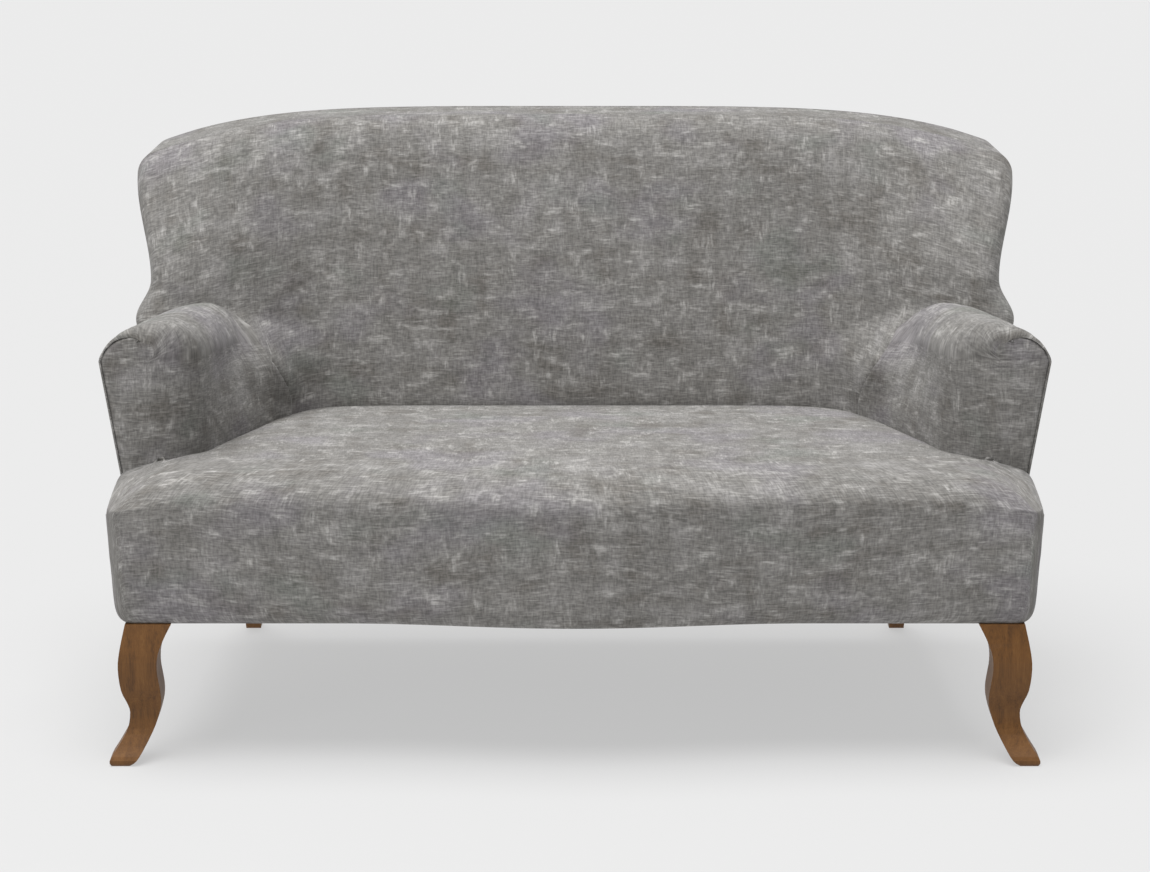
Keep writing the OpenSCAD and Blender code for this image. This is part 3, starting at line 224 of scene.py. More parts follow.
# A grain says what one fleck measures in metres, along the weft, along the warp and through the cloth, and
# its detail. What shows says its pattern, the values between which it comes up and its least and most
linen = {
    "dark": "#696662",
    "mid": "#757370",
    "light": "#848280",
    "slub": "#b2b0ad",
    "violet": "#79757b",
    "green": "#70756f",
    "slubCoat": 0.62,
    "slubHeight": 0.4,
    "grains": {
        "weft": ((0.011, 0.0024, 1), 2.0),
        "warp": ((0.0024, 0.011, 1), 2.0),
        "bands": ((0.110, 0.040, 1), 3.0),
        "columns": ((0.035, 0.120, 1), 3.0),
        "across": ((0.022, 0.0042, 1), 3.0),
        "acrossPatch": ((0.036, 0.019, 1), 2.0),
        "along": ((0.0048, 0.022, 1), 3.0),
        "alongPatch": ((0.022, 0.034, 1), 2.0),
        "violetPatch": ((0.16, 0.12, 1), 2.0),
        "greenPatch": ((0.14, 0.10, 1), 2.0),
        "single": ((0.030, 0.0036, 1), 2.0),
    },
    "blends": {"threads": ("weft", "warp", 0.55), "tone": ("bands", "columns", 0.55)},
    "shows": {
        "mid": ("tone", 0.36, 0.50, 0.0, 1.0),
        "light": ("tone", 0.50, 0.66, 0.0, 1.0),
        "violet": ("violetPatch", 0.50, 0.68, 0.0, 0.45),
        "green": ("greenPatch", 0.56, 0.72, 0.0, 0.35),
        "acrossSlub": ("across", 0.38, 0.66, 0.15, 1.0),
        "acrossCluster": ("acrossPatch", 0.49, 0.74, 0.0, 1.0),
        "alongSlub": ("along", 0.38, 0.66, 0.15, 1.0),
        "alongCluster": ("alongPatch", 0.52, 0.76, 0.0, 1.0),
        "singleSlub": ("single", 0.52, 0.78, 0.0, 0.5),
        "threadShade": ("threads", 0.30, 0.70, 0.68, 1.32),
    },
}


def slubLinen(name):
    # Linen union cloth, plain woven from slubby yarn: matt, with soft fibre at grazing light.
    # Its threads are about 0.6 mm apart, and are drawn 2 mm apart so that they show
    made, tree, shader = newMaterial(name, {
        "Roughness": 0.88, "IOR": 1.45, "Sheen Weight": 0.12, "Sheen Roughness": 0.5,
        "Specular IOR Level": 0.2,
    })
    seen = patternsOf(tree, addNode(tree, "ShaderNodeUVMap", {"uv_map": "cloth"}), linen)
    # Slubs: soft pale stretches of thicker yarn, alone or side by side in clusters
    slubs = seen["singleSlub"]
    for way in ("across", "along"):
        cluster = addNode(tree, "ShaderNodeMath", {"operation": "MULTIPLY"},
                          {0: seen[way + "Slub"], 1: seen[way + "Cluster"]})
        slubs = addNode(tree, "ShaderNodeMath", {"operation": "MAXIMUM"}, {0: slubs, 1: cluster})
    pale = addNode(tree, "ShaderNodeMath", {"operation": "MULTIPLY", 1: linen["slubCoat"]}, {0: slubs})
    coats = [(seen[key], linen[key]) for key in ("mid", "light", "violet", "green")]
    colour = layered(tree, linen["dark"], coats + [(pale, linen["slub"])])
    woven = addNode(tree, "ShaderNodeMix", {"data_type": "RGBA", "blend_type": "MULTIPLY", "Factor": 1.0},
                    {colourA: colour, colourB: seen["threadShade"]})
    height = addNode(tree, "ShaderNodeMath", {"operation": "MULTIPLY_ADD", 1: linen["slubHeight"]},
                     {0: slubs, 2: seen["threads"]})
    finishFace(tree, shader, woven.outputs[colourOut], height, depth=0.0004, strength=0.5)
    return made


def sawnWood(name, tones, rough, coat, grains):
    # Beech: straight grain with short brown flecks, stained and varnished, or bare from the saw
    made, tree, shader = newMaterial(name, {
        "Roughness": rough, "IOR": 1.5, "Specular IOR Level": 0.3,
        "Coat Weight": coat, "Coat Roughness": 0.3,
    })
    bands, fibres, flecks = grains
    seen = patternsOf(tree, addNode(tree, "ShaderNodeTexCoord").outputs["Object"], {
        "grains": {
            "bands": (bands, 3.0, 0.6, 0.3),
            "fibres": (fibres, 3.0, 0.6, 0.0),
            "flecks": (flecks, 1.0),
        },
        "blends": {"tone": ("bands", "fibres", 0.55)},
        "shows": {
            "mid": ("tone", 0.30, 0.52, 0.0, 1.0),
            "light": ("tone", 0.48, 0.68, 0.0, 1.0),
            "brown": ("flecks", 0.66, 0.76, 0.0, 0.2),
        },
    })
    dark, mid, light = tones
    colour = layered(tree, dark, [(seen["mid"], mid), (seen["light"], light), (seen["brown"], dark)])
    finishFace(tree, shader, colour, seen["tone"], depth=0.0003, strength=0.4)
    return made


def plainCloth(name, tones, threads, rough=0.95):
    # Hessian, webbing, dust cloth or foam: a coarse even texture in the yarn's own colour
    made, tree, shader = newMaterial(name, {"Roughness": rough, "IOR": 1.45, "Specular IOR Level": 0.25})
    seen = patternsOf(tree, addNode(tree, "ShaderNodeTexCoord").outputs["Object"], {
        "grains": {"weave": (threads, 2.0), "wear": ((0.05, 0.05, 0.05), 2.0)},
        "blends": {"tone": ("weave", "wear", 0.7)},
        "shows": {"light": ("tone", 0.38, 0.62, 0.0, 1.0)},
    })
    colour = layered(tree, tones[0], [(seen["light"], tones[1])])
    finishFace(tree, shader, colour, seen["weave"], depth=0.0008, strength=0.6)
    return made


def drawnSteel(name, tones, rough):
    # Steel wire and zinc plate: fine lines from the die and a dull bright face
    made, tree, shader = newMaterial(name, {"Metallic": 1.0, "Roughness": rough})
    seen = patternsOf(tree, addNode(tree, "ShaderNodeTexCoord").outputs["Object"], {
        "grains": {"lines": ((0.012, 0.0015, 0.0015), 2.0)},
    })
    colour = layered(tree, tones[0], [(seen["lines"], tones[1])])
    finishFace(tree, shader, colour, seen["lines"], depth=0.0001, strength=0.3)
    return made


# What bands, fibres and flecks of the wood measure in metres: the grain of legs is upright, of rails level
uprightGrain = ((0.010, 0.010, 0.16), (0.0014, 0.0014, 0.045), (0.0012, 0.0012, 0.006))
lyingGrain = ((0.30, 0.010, 0.010), (0.05, 0.0012, 0.0012), (0.006, 0.0009, 0.0009))
materials = {
    "linen_cover": slubLinen("slubLinen"),
    "stained_beech_leg": sawnWood("stainedBeech", ("#503418", "#67441f", "#755028"), 0.5, 0.08, uprightGrain),
    "frame_beech": sawnWood("sawnBeech", ("#a98252", "#c9a272", "#dcbc90"), 0.75, 0.0, lyingGrain),
    "black_base_cloth": plainCloth("dustCloth", ("#141414", "#262626"), (0.002, 0.002, 0.002)),
    "foam": plainCloth("foamAndWadding", ("#d8ceb0", "#efe7cf"), (0.003, 0.003, 0.003), 1.0),
    "hessian": plainCloth("hessian", ("#8f7650", "#b79c70"), (0.0025, 0.004, 0.0025)),
    "jute_webbing": plainCloth("juteWebbing", ("#8a6d45", "#b1905f"), (0.004, 0.004, 0.002)),
    "spring_wire": drawnSteel("springWire", ("#6d7076", "#94979c"), 0.4),
    "zinc_steel": drawnSteel("zincPlate", ("#a9abad", "#c8cacb"), 0.35),
}
report("materials")


# Meshes: a grid's columns run to the right and its rows upwards, as seen from outside
def gridMesh(name, rows, cloth):
    m, n = len(rows), len(rows[0])
    made = bpy.data.meshes.new(name)
    faces = [(i * n + j, i * n + j + 1, (i + 1) * n + j + 1, (i + 1) * n + j)
             for i in range(m - 1) for j in range(n - 1)]
    made.from_pydata([p for row in rows for p in row], [], faces)
    flat = [uv for row in cloth for uv in row]
    layer = made.uv_layers.new(name="cloth")
    for loop in made.loops:
        layer.data[loop.index].uv = flat[loop.vertex_index]
    for face in made.polygons:
        face.use_smooth = True
    obj = bpy.data.objects.new(name, made)
    scene.collection.objects.link(obj)
    obj.data.materials.append(materials["linen_cover"])
    return obj


def runs(points):
    total, out = 0.0, [0.0]
    for a, b in zip(points, points[1:]):
        total += (b - a).length
        out.append(total)
    return out


def clothUv(rows, alongColumn=None, offset=(0.0, 0.0)):
    # Across from the middle of each row, up along one column, so that the weave follows the surface
    column = len(rows[0]) // 2 if alongColumn is None else alongColumn
    up = runs([row[column] for row in rows])
    out = []
    for row, v in zip(rows, up):
        along = runs(row)
        out.append([(u - along[column] + offset[0], v + offset[1]) for u in along])
    return out


def mirrored(rows, cloth):
    # A left-hand copy that keeps its columns running to the right
    return ([[Vector((-p.x, p.y, p.z)) for p in reversed(row)] for row in rows],
            [[(-uv[0], uv[1]) for uv in reversed(row)] for row in cloth])


# How the covers' cloth is simulated; a shrink below zero lets it grow by that share
stuffing = {
    "quality": 4,
    "mass": 0.3,
    "tension_stiffness": 12,
    "compression_stiffness": 12,
    "shear_stiffness": 4,
    "bending_stiffness": 0.4,
    "use_pressure": True,
    "uniform_pressure_force": 4,
    "shrink_min": -0.015,
    "vertex_group_mass": "seams",
}
stuffingFrames = 20


def stuffed(pieces, cap):
    # Cloth pressed out by the stuffing: seams are held, the rest swells and ripples a little, and the
    # result goes into the mesh. The covers that hold each other are stepped together
    for obj, held in pieces:
        seams = obj.vertex_groups.new(name="seams")
        seams.add(held, 1.0, "REPLACE")
        cloth = obj.modifiers.new("stuffing", "CLOTH")
        for key, value in stuffing.items():
            setattr(cloth.settings, key, value)
        cloth.settings.effector_weights.gravity = 0
        cloth.point_cache.frame_end = stuffingFrames
    for k in range(1, stuffingFrames + 1):
        scene.frame_set(k)
    depsgraph = bpy.context.evaluated_depsgraph_get()
    for obj, held in pieces:
        swollen = [v.co.copy() for v in obj.evaluated_get(depsgraph).data.vertices]
        obj.modifiers.remove(obj.modifiers["stuffing"])
        obj.vertex_groups.clear()
        for v, at in zip(obj.data.vertices, swollen):
            move = at - v.co
            v.co += move * cap / (cap + move.length)
    scene.frame_set(1)


def rim(rows, low=1, high=1, left=1, right=1):
    # The vertices of a grid that its seams hold
    m, n = len(rows), len(rows[0])
    return [i * n + j for i in range(m) for j in range(n)
            if i < low or i >= m - high or j < left or j >= n - right]


def finishCover(obj, replaced):
    rounder = obj.modifiers.new("smoothing", "SUBSURF")
    rounder.levels = rounder.render_levels = 1
    rounder.boundary_smooth = "PRESERVE_CORNERS"
    rounder.uv_smooth = "PRESERVE_BOUNDARIES"
    shell = obj.modifiers.new("cloth", "SOLIDIFY")
    shell.thickness = sofa["cloth"]
    shell.offset = -1
    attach(obj, "root")
    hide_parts(*replaced)


# Seat: one cover from the foot of the bowed front, over the rounded edge and back to the inside back
seat = {
    "half": 0.738,
    "seam": 0.405,
    "top": 0.47,
    "fall": 0.011,  # of the top, towards the back
    "drawIn": 0.011,  # of each side, from the seam to the foot
    "roundDepth": 0.12,
    "roundWidth": 0.075,
    "edgePower": 0.5,  # at 1 the rounded edge is elliptic, and fuller below that
    "corner": 0.014,
    "endLap": 0.002,  # the cover runs on past the corner by this much
    "footRise": 0.034,
    "footFront": 0.55,  # the front turns in at the foot by this share of what the sides do
    "foot": ((0, 1), (0.06, 0.74), (0.16, 0.5), (0.32, 0.27), (0.55, 0.1), (0.78, 0.02), (1, 0)),
    "topCorner": 0.045,
    "puff": 0.005,  # the front stands out by this much over its foot
    "puffRise": 0.107,
    "frontDrop": 0.009,
    "frontFall": 0.014,
    "frontRun": 0.3,
    "sideDrop": 0.01,
    "sidePower": 8,
    "shoulderDrop": 0.018,
    "shoulderFrom": 0.62,
    "shoulderRun": 0.1,
    "settleRise": 0.05,
    "armsFrom": 0.15,
    "noseRadius": 0.07,
    "lap": 0.0125,  # between the arms the corner's columns lie within four of these at each side
    "cornerSteps": 6,
    "frontSteps": 96,
    "roundSteps": 14,
    "wallSteps": 8,
    "rearSteps": 20,
    "topShares": (0.18, 0.36, 0.54, 0.7, 0.84),
    "noseShares": (0.1, 0.16, 0.24, 0.34, 0.48, 0.64, 0.82, 1),
    "swell": 0.004,
}


def footIn(z):
    # How far the cover turns in at this height above its foot
    rise = (z - sofa["legTop"]) / seat["footRise"]
    for (h, w), (above, less) in zip(seat["foot"], seat["foot"][1:]):
        if rise <= above:
            return seat["corner"] * mix(w, less, max(0, rise - h) / (above - h))
    return 0


def frontHalf(z):
    return seat["half"] - seat["drawIn"] * max(0, seat["seam"] - z) / (seat["seam"] - sofa["legTop"])


def frontIn(z):
    return seat["puff"] * (1 - smooth((z - sofa["legTop"]) / seat["puffRise"]))


def narrowHalf(y):
    return betweenHalf(y) + roundIn(seat["noseRadius"], y - seat["armsFrom"]) - sofa["gap"]


def seatZ(y):
    run = (y - seat["roundDepth"]) / (back["depth"] - seat["roundDepth"])
    return seat["top"] - seat["fall"] * smooth(run)


def settled(p, foam=False):
    # The shoulders beside the arms sink under the cover's pull and the front edge falls away; the foam
    # lies lower still over the front's round
    depth = p.y + sofa["originDepth"] - bow(p.x)
    drop = seat["shoulderDrop"] * smooth((abs(p.x) - seat["shoulderFrom"]) / seat["shoulderRun"])
    drop += seat["frontFall"] * max(0, 1 - depth / seat["frontRun"]) ** 2
    if foam:
        drop += seat["frontDrop"] * math.sin(math.pi * ramp(depth / seat["roundDepth"]))
    return Vector((p.x, p.y, p.z - drop * smooth((p.z - seat["seam"]) / seat["settleRise"])))


def seatColumns():
    # Each column is (kind, share, side): the arm-front end, the corner's turn, or the run across the front
    corner = [("turn", k / seat["cornerSteps"]) for k in range(seat["cornerSteps"])]
    across = [("front", 2 * k / seat["frontSteps"] - 1) for k in range(seat["frontSteps"] + 1)]
    ends = [("end", 0.0), ("end", 0.5)]
    return ([(k, s, -1) for k, s in ends + corner] + [(k, s, 1) for k, s in across]
            + [(k, s, 1) for k, s in reversed(ends + corner)])


def seatPoint(column, half, front, r, end, bowShare):
    # Where a column passes a level with this half width, front depth and corner radius
    kind, s, side = column
    if kind == "end":
        return side * half, mix(end, front + r, s)
    if kind == "turn":
        a = math.pi / 2 * s
        return side * (half - r * (1 - math.cos(a))), front + r * (1 - math.sin(a))
    x = s * (half - r)
    return x, front + bow(x) * bowShare


def columnShares(columns):
    # Where each column runs between the arms, as a share of the half width
    out, lap = [], seat["lap"]
    for kind, s, side in columns:
        if kind == "end":
            out.append(side * (1 - s * lap))
        elif kind == "turn":
            out.append(side * (1 - (1 + 3 * s) * lap))
        else:
            out.append(s * (1 - 4 * lap))
    return out


back = {
    "depth": 0.536,
    "seatBack": 0.459,
    "rise": 0.474,
    "recline": 0.136 / 0.474,  # backwards for each metre of rise
    "crown": 0.012,
    "wing": (0.125, 0.04),  # how far the wings reach forward, low down and at the top
    "wingFrom": 0.4,
    "wingRun": 0.3,
    "wingRise": 0.253,
    "edgeRadius": 0.035,
    "skinFade": 0.03,  # over the arm the back's sides stand out again within this height
    "foot": 0.4109,
    "middleSteps": 24,
    "wingSteps": 22,
    "edgeSteps": 9,
    "riseSteps": 56,
    "swell": 0.005,
}


def backFront(x, z):
    rise = back["crown"] * math.sin(math.pi * ramp((z - back["seatBack"]) / back["rise"]))
    reach = mix(*back["wing"], smooth((z - outline["flareFrom"]) / back["wingRise"]))
    slope = max(0, z - back["seatBack"]) * back["recline"]
    crown = rise * (1 - smooth(abs(x) / edgeHalf))
    return back["depth"] + slope - crown - reach * smooth((abs(x) - back["wingFrom"]) / back["wingRun"])


def edgeDepth(z):
    return backFront(edgeHalf, z) + back["edgeRadius"]


def sideHalf(z):
    # Up to the arm the back lies behind the outside arm's skin
    y = edgeDepth(z)
    return outerX(z, y) - sofa["skin"] * (1 - smooth((z - armMid(y)) / back["skinFade"]))


# Arms: a path over the roll and down the inside face, carried from the nose back to the inside back
arm = {
    "rollWidth": (0.148, 0.181),
    "rollHeight": 0.068,
    "shoulderPower": (1.4, 2.4),
    "shoulderRun": 0.35,
    "lean": 0.13,
    "leanFrom": -0.5,
    "leanAcross": 0.66,
    "foot": 0.3306,
    "nose": (0.003, 0.035, 0.07),
    "noseFrom": 2,
    "rollParts": 15,
    "faceParts": 7,
    "finer": 3,
    "pivot": 22,
    "runSteps": 30,
    "noses": (0, 0.008, 0.03, 0.06, 0.1, 0.15, 0.22, 0.31, 0.42, 0.55, 0.68, 0.84, 1),
    "fillet": (0.05, 0.15),
    "filletRise": 0.09,
    "filletEnd": 0.55,
    "filletFade": 0.1,
    "filletFrom": 0.5,  # the fillet begins at this share of the roll and is full soon after
    "filletRate": 5,
    "tuck": 0.002,
    "swell": 0.003,
}
armParts = arm["rollParts"] + arm["faceParts"]


def rollWidth(y):
    return mix(*arm["rollWidth"], armRun(y, back["depth"]))


def rollOut(y):
    return outerX(armMid(y), y)


def faceX(z, y):
    rise = (z - back["seatBack"]) / (armMid(y) - back["seatBack"])
    return mix(betweenHalf(y), rollOut(y) - rollWidth(y), smooth(rise))


def rollShape(across, y):
    # How far the roll falls short of a half ellipse: its crest lies inwards and its outer side slumps
    run = ramp((y - seat["armsFrom"]) / arm["shoulderRun"])
    power = mix(*arm["shoulderPower"], run) - 1 if across > 0 else 0
    lean = 1 - arm["lean"] * smooth((across - arm["leanFrom"]) / arm["leanAcross"])
    return lean * max(0, 1 - across * across) ** (power / 2)


def armXz(p, y, cut):
    # p runs over the roll from its outer side and down the inside face; cut is how far the nose turns in
    if p <= arm["rollParts"]:
        a = math.pi * p / arm["rollParts"]
        half = rollWidth(y) / 2
        rise = math.sin(a) * rollShape(math.cos(a), y)
        return (rollOut(y) - half + (half - cut) * math.cos(a),
                armMid(y) + (arm["rollHeight"] - cut) * rise)
    z = mix(armMid(y), arm["foot"], (p - arm["rollParts"]) / arm["faceParts"])
    return faceX(z, y) + cut, z


def noseR(p):
    # How far the nose is rounded: hardly at the outside, most down the inside face
    half = arm["rollParts"] / 2
    outer, crest, inner = arm["nose"]
    if p <= half:
        return mix(outer, crest, ramp((p - arm["noseFrom"]) / (half - arm["noseFrom"])) ** 2)
    return mix(crest, inner, smooth((p - half) / (armParts - half) * 2))


def insideX(z, y):
    # Where the inside of the arm stands at this height and depth
    rise = (z - armMid(y)) / arm["rollHeight"]
    if rise <= 0:
        return faceX(z, y)
    half = rollWidth(y) / 2
    return rollOut(y) - half - half * math.sqrt(max(0, 1 - rise * rise))


def cornerAt(z):
    # How far out the arm's inside meets the inside back, which five rounds find well enough
    y = back["depth"]
    for _ in range(5):
        x = insideX(z, y)
        y = backMeet(x, z)
    return x


def filleted(x, y, z, away, inner=1.0):
    # The cover bridges the corner between arm and back, each by up to a quarter of the fillet's reach
    reach = mix(*arm["fillet"], smooth((z - back["seatBack"]) / arm["filletRise"]))
    reach *= 1 - smooth((z - arm["filletEnd"]) / arm["filletFade"])
    share = max(0, 1 - away / reach) if reach > 0 else 0
    move = inner * reach * share * share / 4
    return x - math.copysign(move, x), y - move


def backMeet(x, z):
    # The depth of the inside back with its rolled edge
    turn = max(0, 1 - max(0, sideHalf(z) - abs(x)) / back["edgeRadius"])
    return backFront(x, z) + back["edgeRadius"] * (1 - math.sqrt(max(0, 1 - turn * turn)))


def seatMeet(s):
    # The depth at which the seat meets the inside back
    y = back["depth"]
    for _ in range(5):
        y = backFront(s * narrowHalf(y), back["seatBack"]) - sofa["gap"]
    return y


def wallHeights(top):
    # Heights up the seat's wall to its seam, and how far the cover turns in at each
    low = sofa["legTop"] + seat["footRise"]
    foot = [(sofa["legTop"] + seat["footRise"] * h, seat["corner"] * w) for h, w in seat["foot"]]
    wall = [(mix(low, top, t), 0) for t in steps(seat["wallSteps"])[1:-1]]
    return foot + wall + [(seat["seam"] - 3 * sofa["gap"], 0)]


def seatRows():
    columns = seatColumns()
    shares = columnShares(columns)
    drops = [seat["sideDrop"] * abs(s) ** seat["sidePower"] for s in shares]
    foot, armLine = seat["corner"], seat["armsFrom"] - sofa["gap"]
    rows, walls = [], wallHeights(seat["seam"])
    for z, tuck in walls:
        front = frontIn(z) + tuck * seat["footFront"]
        end = front + foot + seat["endLap"]
        rows.append([place(*seatPoint(c, frontHalf(z) - tuck, front, foot, end, 1), z) for c in columns])
    # The rounded edge
    for t in steps(seat["roundSteps"]):
        a = math.pi / 2 * t
        inward, up = 1 - max(0, math.cos(a)) ** seat["edgePower"], math.sin(a) ** seat["edgePower"]
        half = seat["half"] - seat["roundWidth"] * inward
        front = seat["roundDepth"] * inward
        z = seat["seam"] + (seat["top"] - seat["seam"]) * up
        rows.append([place(*seatPoint(c, half, front, mix(foot, seat["topCorner"], t), armLine, 1), z)
                     for c in columns])
    # The top in front of the arms, then past their noses and between them to the inside back
    firstNose = seat["armsFrom"] + seat["noseShares"][0] * seat["noseRadius"]
    flatHalf = seat["half"] - seat["roundWidth"]
    lineHalf = min(flatHalf, narrowHalf(firstNose) + 2 * sofa["gap"])
    for w in seat["topShares"]:
        half, front = mix(flatHalf, lineHalf, w), mix(seat["roundDepth"], armLine, w)
        row = []
        for c, drop in zip(columns, drops):
            x, y = seatPoint(c, half, front, seat["topCorner"] * (1 - w), armLine, 1 - w)
            row.append(place(x, y, seatZ(y) - drop * w / 2))
        rows.append(row)
    rows.append([place(s * lineHalf, armLine, seatZ(armLine) - drop / 2) for s, drop in zip(shares, drops)])
    for d in seat["noseShares"]:
        y = seat["armsFrom"] + seat["noseRadius"] * d
        rows.append([place(s * narrowHalf(y), y, seatZ(y) - drop * (1 + d) / 2)
                     for s, drop in zip(shares, drops)])
    ends = [seatMeet(s) for s in shares]
    for d in steps(seat["rearSteps"])[1:]:
        row = []
        for s, drop, end in zip(shares, drops, ends):
            y = mix(seat["armsFrom"] + seat["noseRadius"], end, d)
            row.append(place(s * narrowHalf(y), y, seatZ(y) - drop))
        rows.append(row)
    rows = [[settled(p) for p in row] for row in rows]
    return rows, len(walls) + seat["roundSteps"], columns


def outward(column):
    # The way out from the seat in which a column runs down its wall, seen from above
    kind, s, side = column
    if kind == "end":
        return side, 0
    if kind == "turn":
        return side * math.cos(math.pi / 2 * s), -math.sin(math.pi / 2 * s)
    return 0, -1


def seatUv(rows, crest, columns):
    # Flat over the top, then down the front and the ends along each column's own outward direction
    ways = [outward(column) for column in columns]
    out = [[(p.x, p.y) for p in row] for row in rows]
    for i in range(crest - 1, -1, -1):
        lengths = [(p - q).length for p, q in zip(rows[i], rows[i + 1])]
        out[i] = [(u + length * x, v + length * y)
                  for (u, v), length, (x, y) in zip(out[i + 1], lengths, ways)]
    return out


rows, crest, columns = seatRows()
seatCover = gridMesh("seatCover", rows, seatUv(rows, crest, columns))
stuffed([(seatCover, rim(rows, low=7, high=4, left=2, right=2))], seat["swell"])
finishCover(seatCover, ["seat_cover"])

sidePanel = {"columns": 10}


def sidePanelRows():
    rows = []
    for z, tuck in wallHeights(seat["seam"] - 3 * sofa["gap"]):
        turn = seat["corner"] + seat["endLap"] + sofa["gap"]
        front = frontIn(z) + tuck * seat["footFront"] + turn
        rows.append([place(frontHalf(z) - tuck, mix(front, seat["armsFrom"] - sofa["gap"], s), z)
                     for s in steps(sidePanel["columns"])])
    return rows


# Each panel is cut from a place of its own in the cloth
rows = sidePanelRows()
cloth = clothUv(rows, 0, offset=(0.4, 0.1))
finishCover(gridMesh("seatSidePanelRight", rows, cloth), ["seat_side_panel_right"])
finishCover(gridMesh("seatSidePanelLeft", *mirrored(rows, cloth)), ["seat_side_panel_left"])
report("seat")


# Back: columns across and rows upwards, with the rolled edge in finer steps
def backColumns():
    edge = [("edge", 90 * k / back["edgeSteps"]) for k in range(back["edgeSteps"])]
    inner = [("middle", k / back["middleSteps"]) for k in range(back["middleSteps"] + 1)]
    inner += [("wing", k / back["wingSteps"]) for k in range(1, back["wingSteps"] + 1)]
    right = inner + edge[::-1]
    return [(k, s, -1) for k, s in right[:0:-1]] + [(k, s, 1) for k, s in right]


def backColumnX(column, half):
    kind, s, side = column
    if kind == "edge":
        return side * (half - back["edgeRadius"] * (1 - math.cos(math.radians(s))))
    if kind == "middle":
        return side * back["wingFrom"] * s
    return side * mix(back["wingFrom"], half - back["edgeRadius"], s)


def backRows():
    columns, rows = backColumns(), []
    lifts = [(t, 90) for t in steps(back["riseSteps"])]
    lifts += [(1, 90 - 90 * k / back["edgeSteps"]) for k in range(1, back["edgeSteps"] + 1)]
    for t, rowAngle in lifts:
        row = []
        for c in columns:
            top = topZ(backColumnX(c, edgeHalf))
            if rowAngle < 90:
                z = top - back["edgeRadius"] * (1 - math.cos(math.radians(rowAngle)))
            else:
                z = mix(back["foot"], top - back["edgeRadius"], t)
            x = backColumnX(c, sideHalf(z))
            turn = math.cos(math.radians(c[1])) if c[0] == "edge" else 0.0
            turn = turn ** 2 + math.cos(math.radians(rowAngle)) ** 2
            roll = back["edgeRadius"] * (1 - math.sqrt(max(0, 1 - turn)))
            y = backFront(x, z) + roll
            x, y = filleted(x, y, z, abs(abs(x) - cornerAt(z)))
            row.append(place(x, y, z))
        rows.append(row)
    return rows


rows = backRows()
backCover = gridMesh("backCover", rows, clothUv(rows, offset=(0.0, 0.55)))
# Its seams are held, and so are the foot and the rolled upper corners
corner = back["edgeSteps"] + 1
width = len(rows[0])
held = [i for i in rim(rows, 0, corner, 0, 0) if min(i % width, width - 1 - i % width) < corner]
stuffed([(backCover, rim(rows, low=6) + held)], back["swell"])
finishCover(backCover, ["back_cover"])

border = {
    "across": 10,
    "levels": 30,
    "turns": (20, 40, 60, 80),  # degrees
    "thickness": 0.005,
    "footGuess": 0.56,
}


def borderY(x, z, share):
    # From the inside back's rolled edge to the outside back's skin
    front = backFront(x, z) + back["edgeRadius"] + sofa["gap"]
    return mix(front, rearY(z - border["thickness"]) - sofa["skin"], share)


def borderFoot(share):
    # The height at which the border meets the arm
    z = border["footGuess"]
    for _ in range(6):
        z = armMid(borderY(sideHalf(z), z, share)) + sofa["gap"]
    return z


def borderRows():
    columns, rows = backColumns(), []
    crest = topZ(edgeHalf) - back["edgeRadius"]
    turns = [crest + back["edgeRadius"] * (1 - math.cos(math.radians(a))) for a in border["turns"]]
    for share in steps(border["across"]):
        side, over = [], []
        foot = borderFoot(share)
        for z in [mix(foot, crest, t) for t in steps(border["levels"])] + turns:
            if z < topZ(edgeHalf):
                y = borderY(sideHalf(z), z, share)
                side.append((outerX(z, y), y, z))
        for c in columns:
            z = topZ(backColumnX(c, edgeHalf))
            y = borderY(backColumnX(c, sideHalf(z)), z, share)
            x = backColumnX(c, mix(sideHalf(z), outerX(outline["flareTop"], rearY(z)), share))
            over.append(place(x, y, z))
        left = [place(-x, y, z) for x, y, z in side]
        right = [place(x, y, z) for x, y, z in reversed(side)]
        rows.append(left + over + right)
    return rows


rows = borderRows()
finishCover(gridMesh("backBorder", rows, clothUv(rows, offset=(0.2, 1.4))), ["back_border"])

outsideBack = {"levels": 40, "columns": 40}


def outsideBackRows():
    rows = []
    for t in steps(outsideBack["levels"]):
        row = []
        for s in [2 * k - 1 for k in steps(outsideBack["columns"])]:
            z = mix(sofa["legTop"], topZ(s * edgeHalf), t)
            widest = outline["flareTop"] if t == 1 else min(z, outline["flareTop"])
            row.append(place(-s * outerX(widest, rearY(z)), rearY(z), z))
        rows.append(row)
    return rows


rows = outsideBackRows()
cloth = clothUv(rows, offset=(0.1, 2.3))
finishCover(gridMesh("outsideBack", rows, cloth), ["outside_back"])
report("back")


# Arms
def armEnd(p):
    # The depth at which this line of the arm is tucked in at the back
    y = back["depth"]
    for _ in range(6):
        x, z = armXz(p, y, 0)
        y = backMeet(x, z) + arm["tuck"]
    return y


def armRow(p, end):
    # One row of the arm, from the inside back to the nose
    row, r = [], noseR(p)
    for s in arm["noses"]:
        d = arm["nose"][2] * s
        y = seat["armsFrom"] + d
        x, z = armXz(p, y, roundIn(r, d))
        row.append((x, y, z))
    for s in steps(arm["runSteps"])[1:]:
        y = mix(seat["armsFrom"] + arm["nose"][2], end, s)
        x, z = armXz(p, y, 0)
        inner = smooth((p / arm["rollParts"] - arm["filletFrom"]) * arm["filletRate"])
        x, y = filleted(x, y, z, abs(backMeet(x, z) - y), inner)
        row.append((x, y, z))
    return [place(*p) for p in row[::-1]]


facing = {
    "foot": 0.391,
    "columns": 16,
    "lap": 0.0006,
    "round": 0.003,
    "creaseRun": 3.2,
    "pleat": 0.009,  # the cloth is gathered within this distance of the crease's end
    "merge": 0.0002,
}


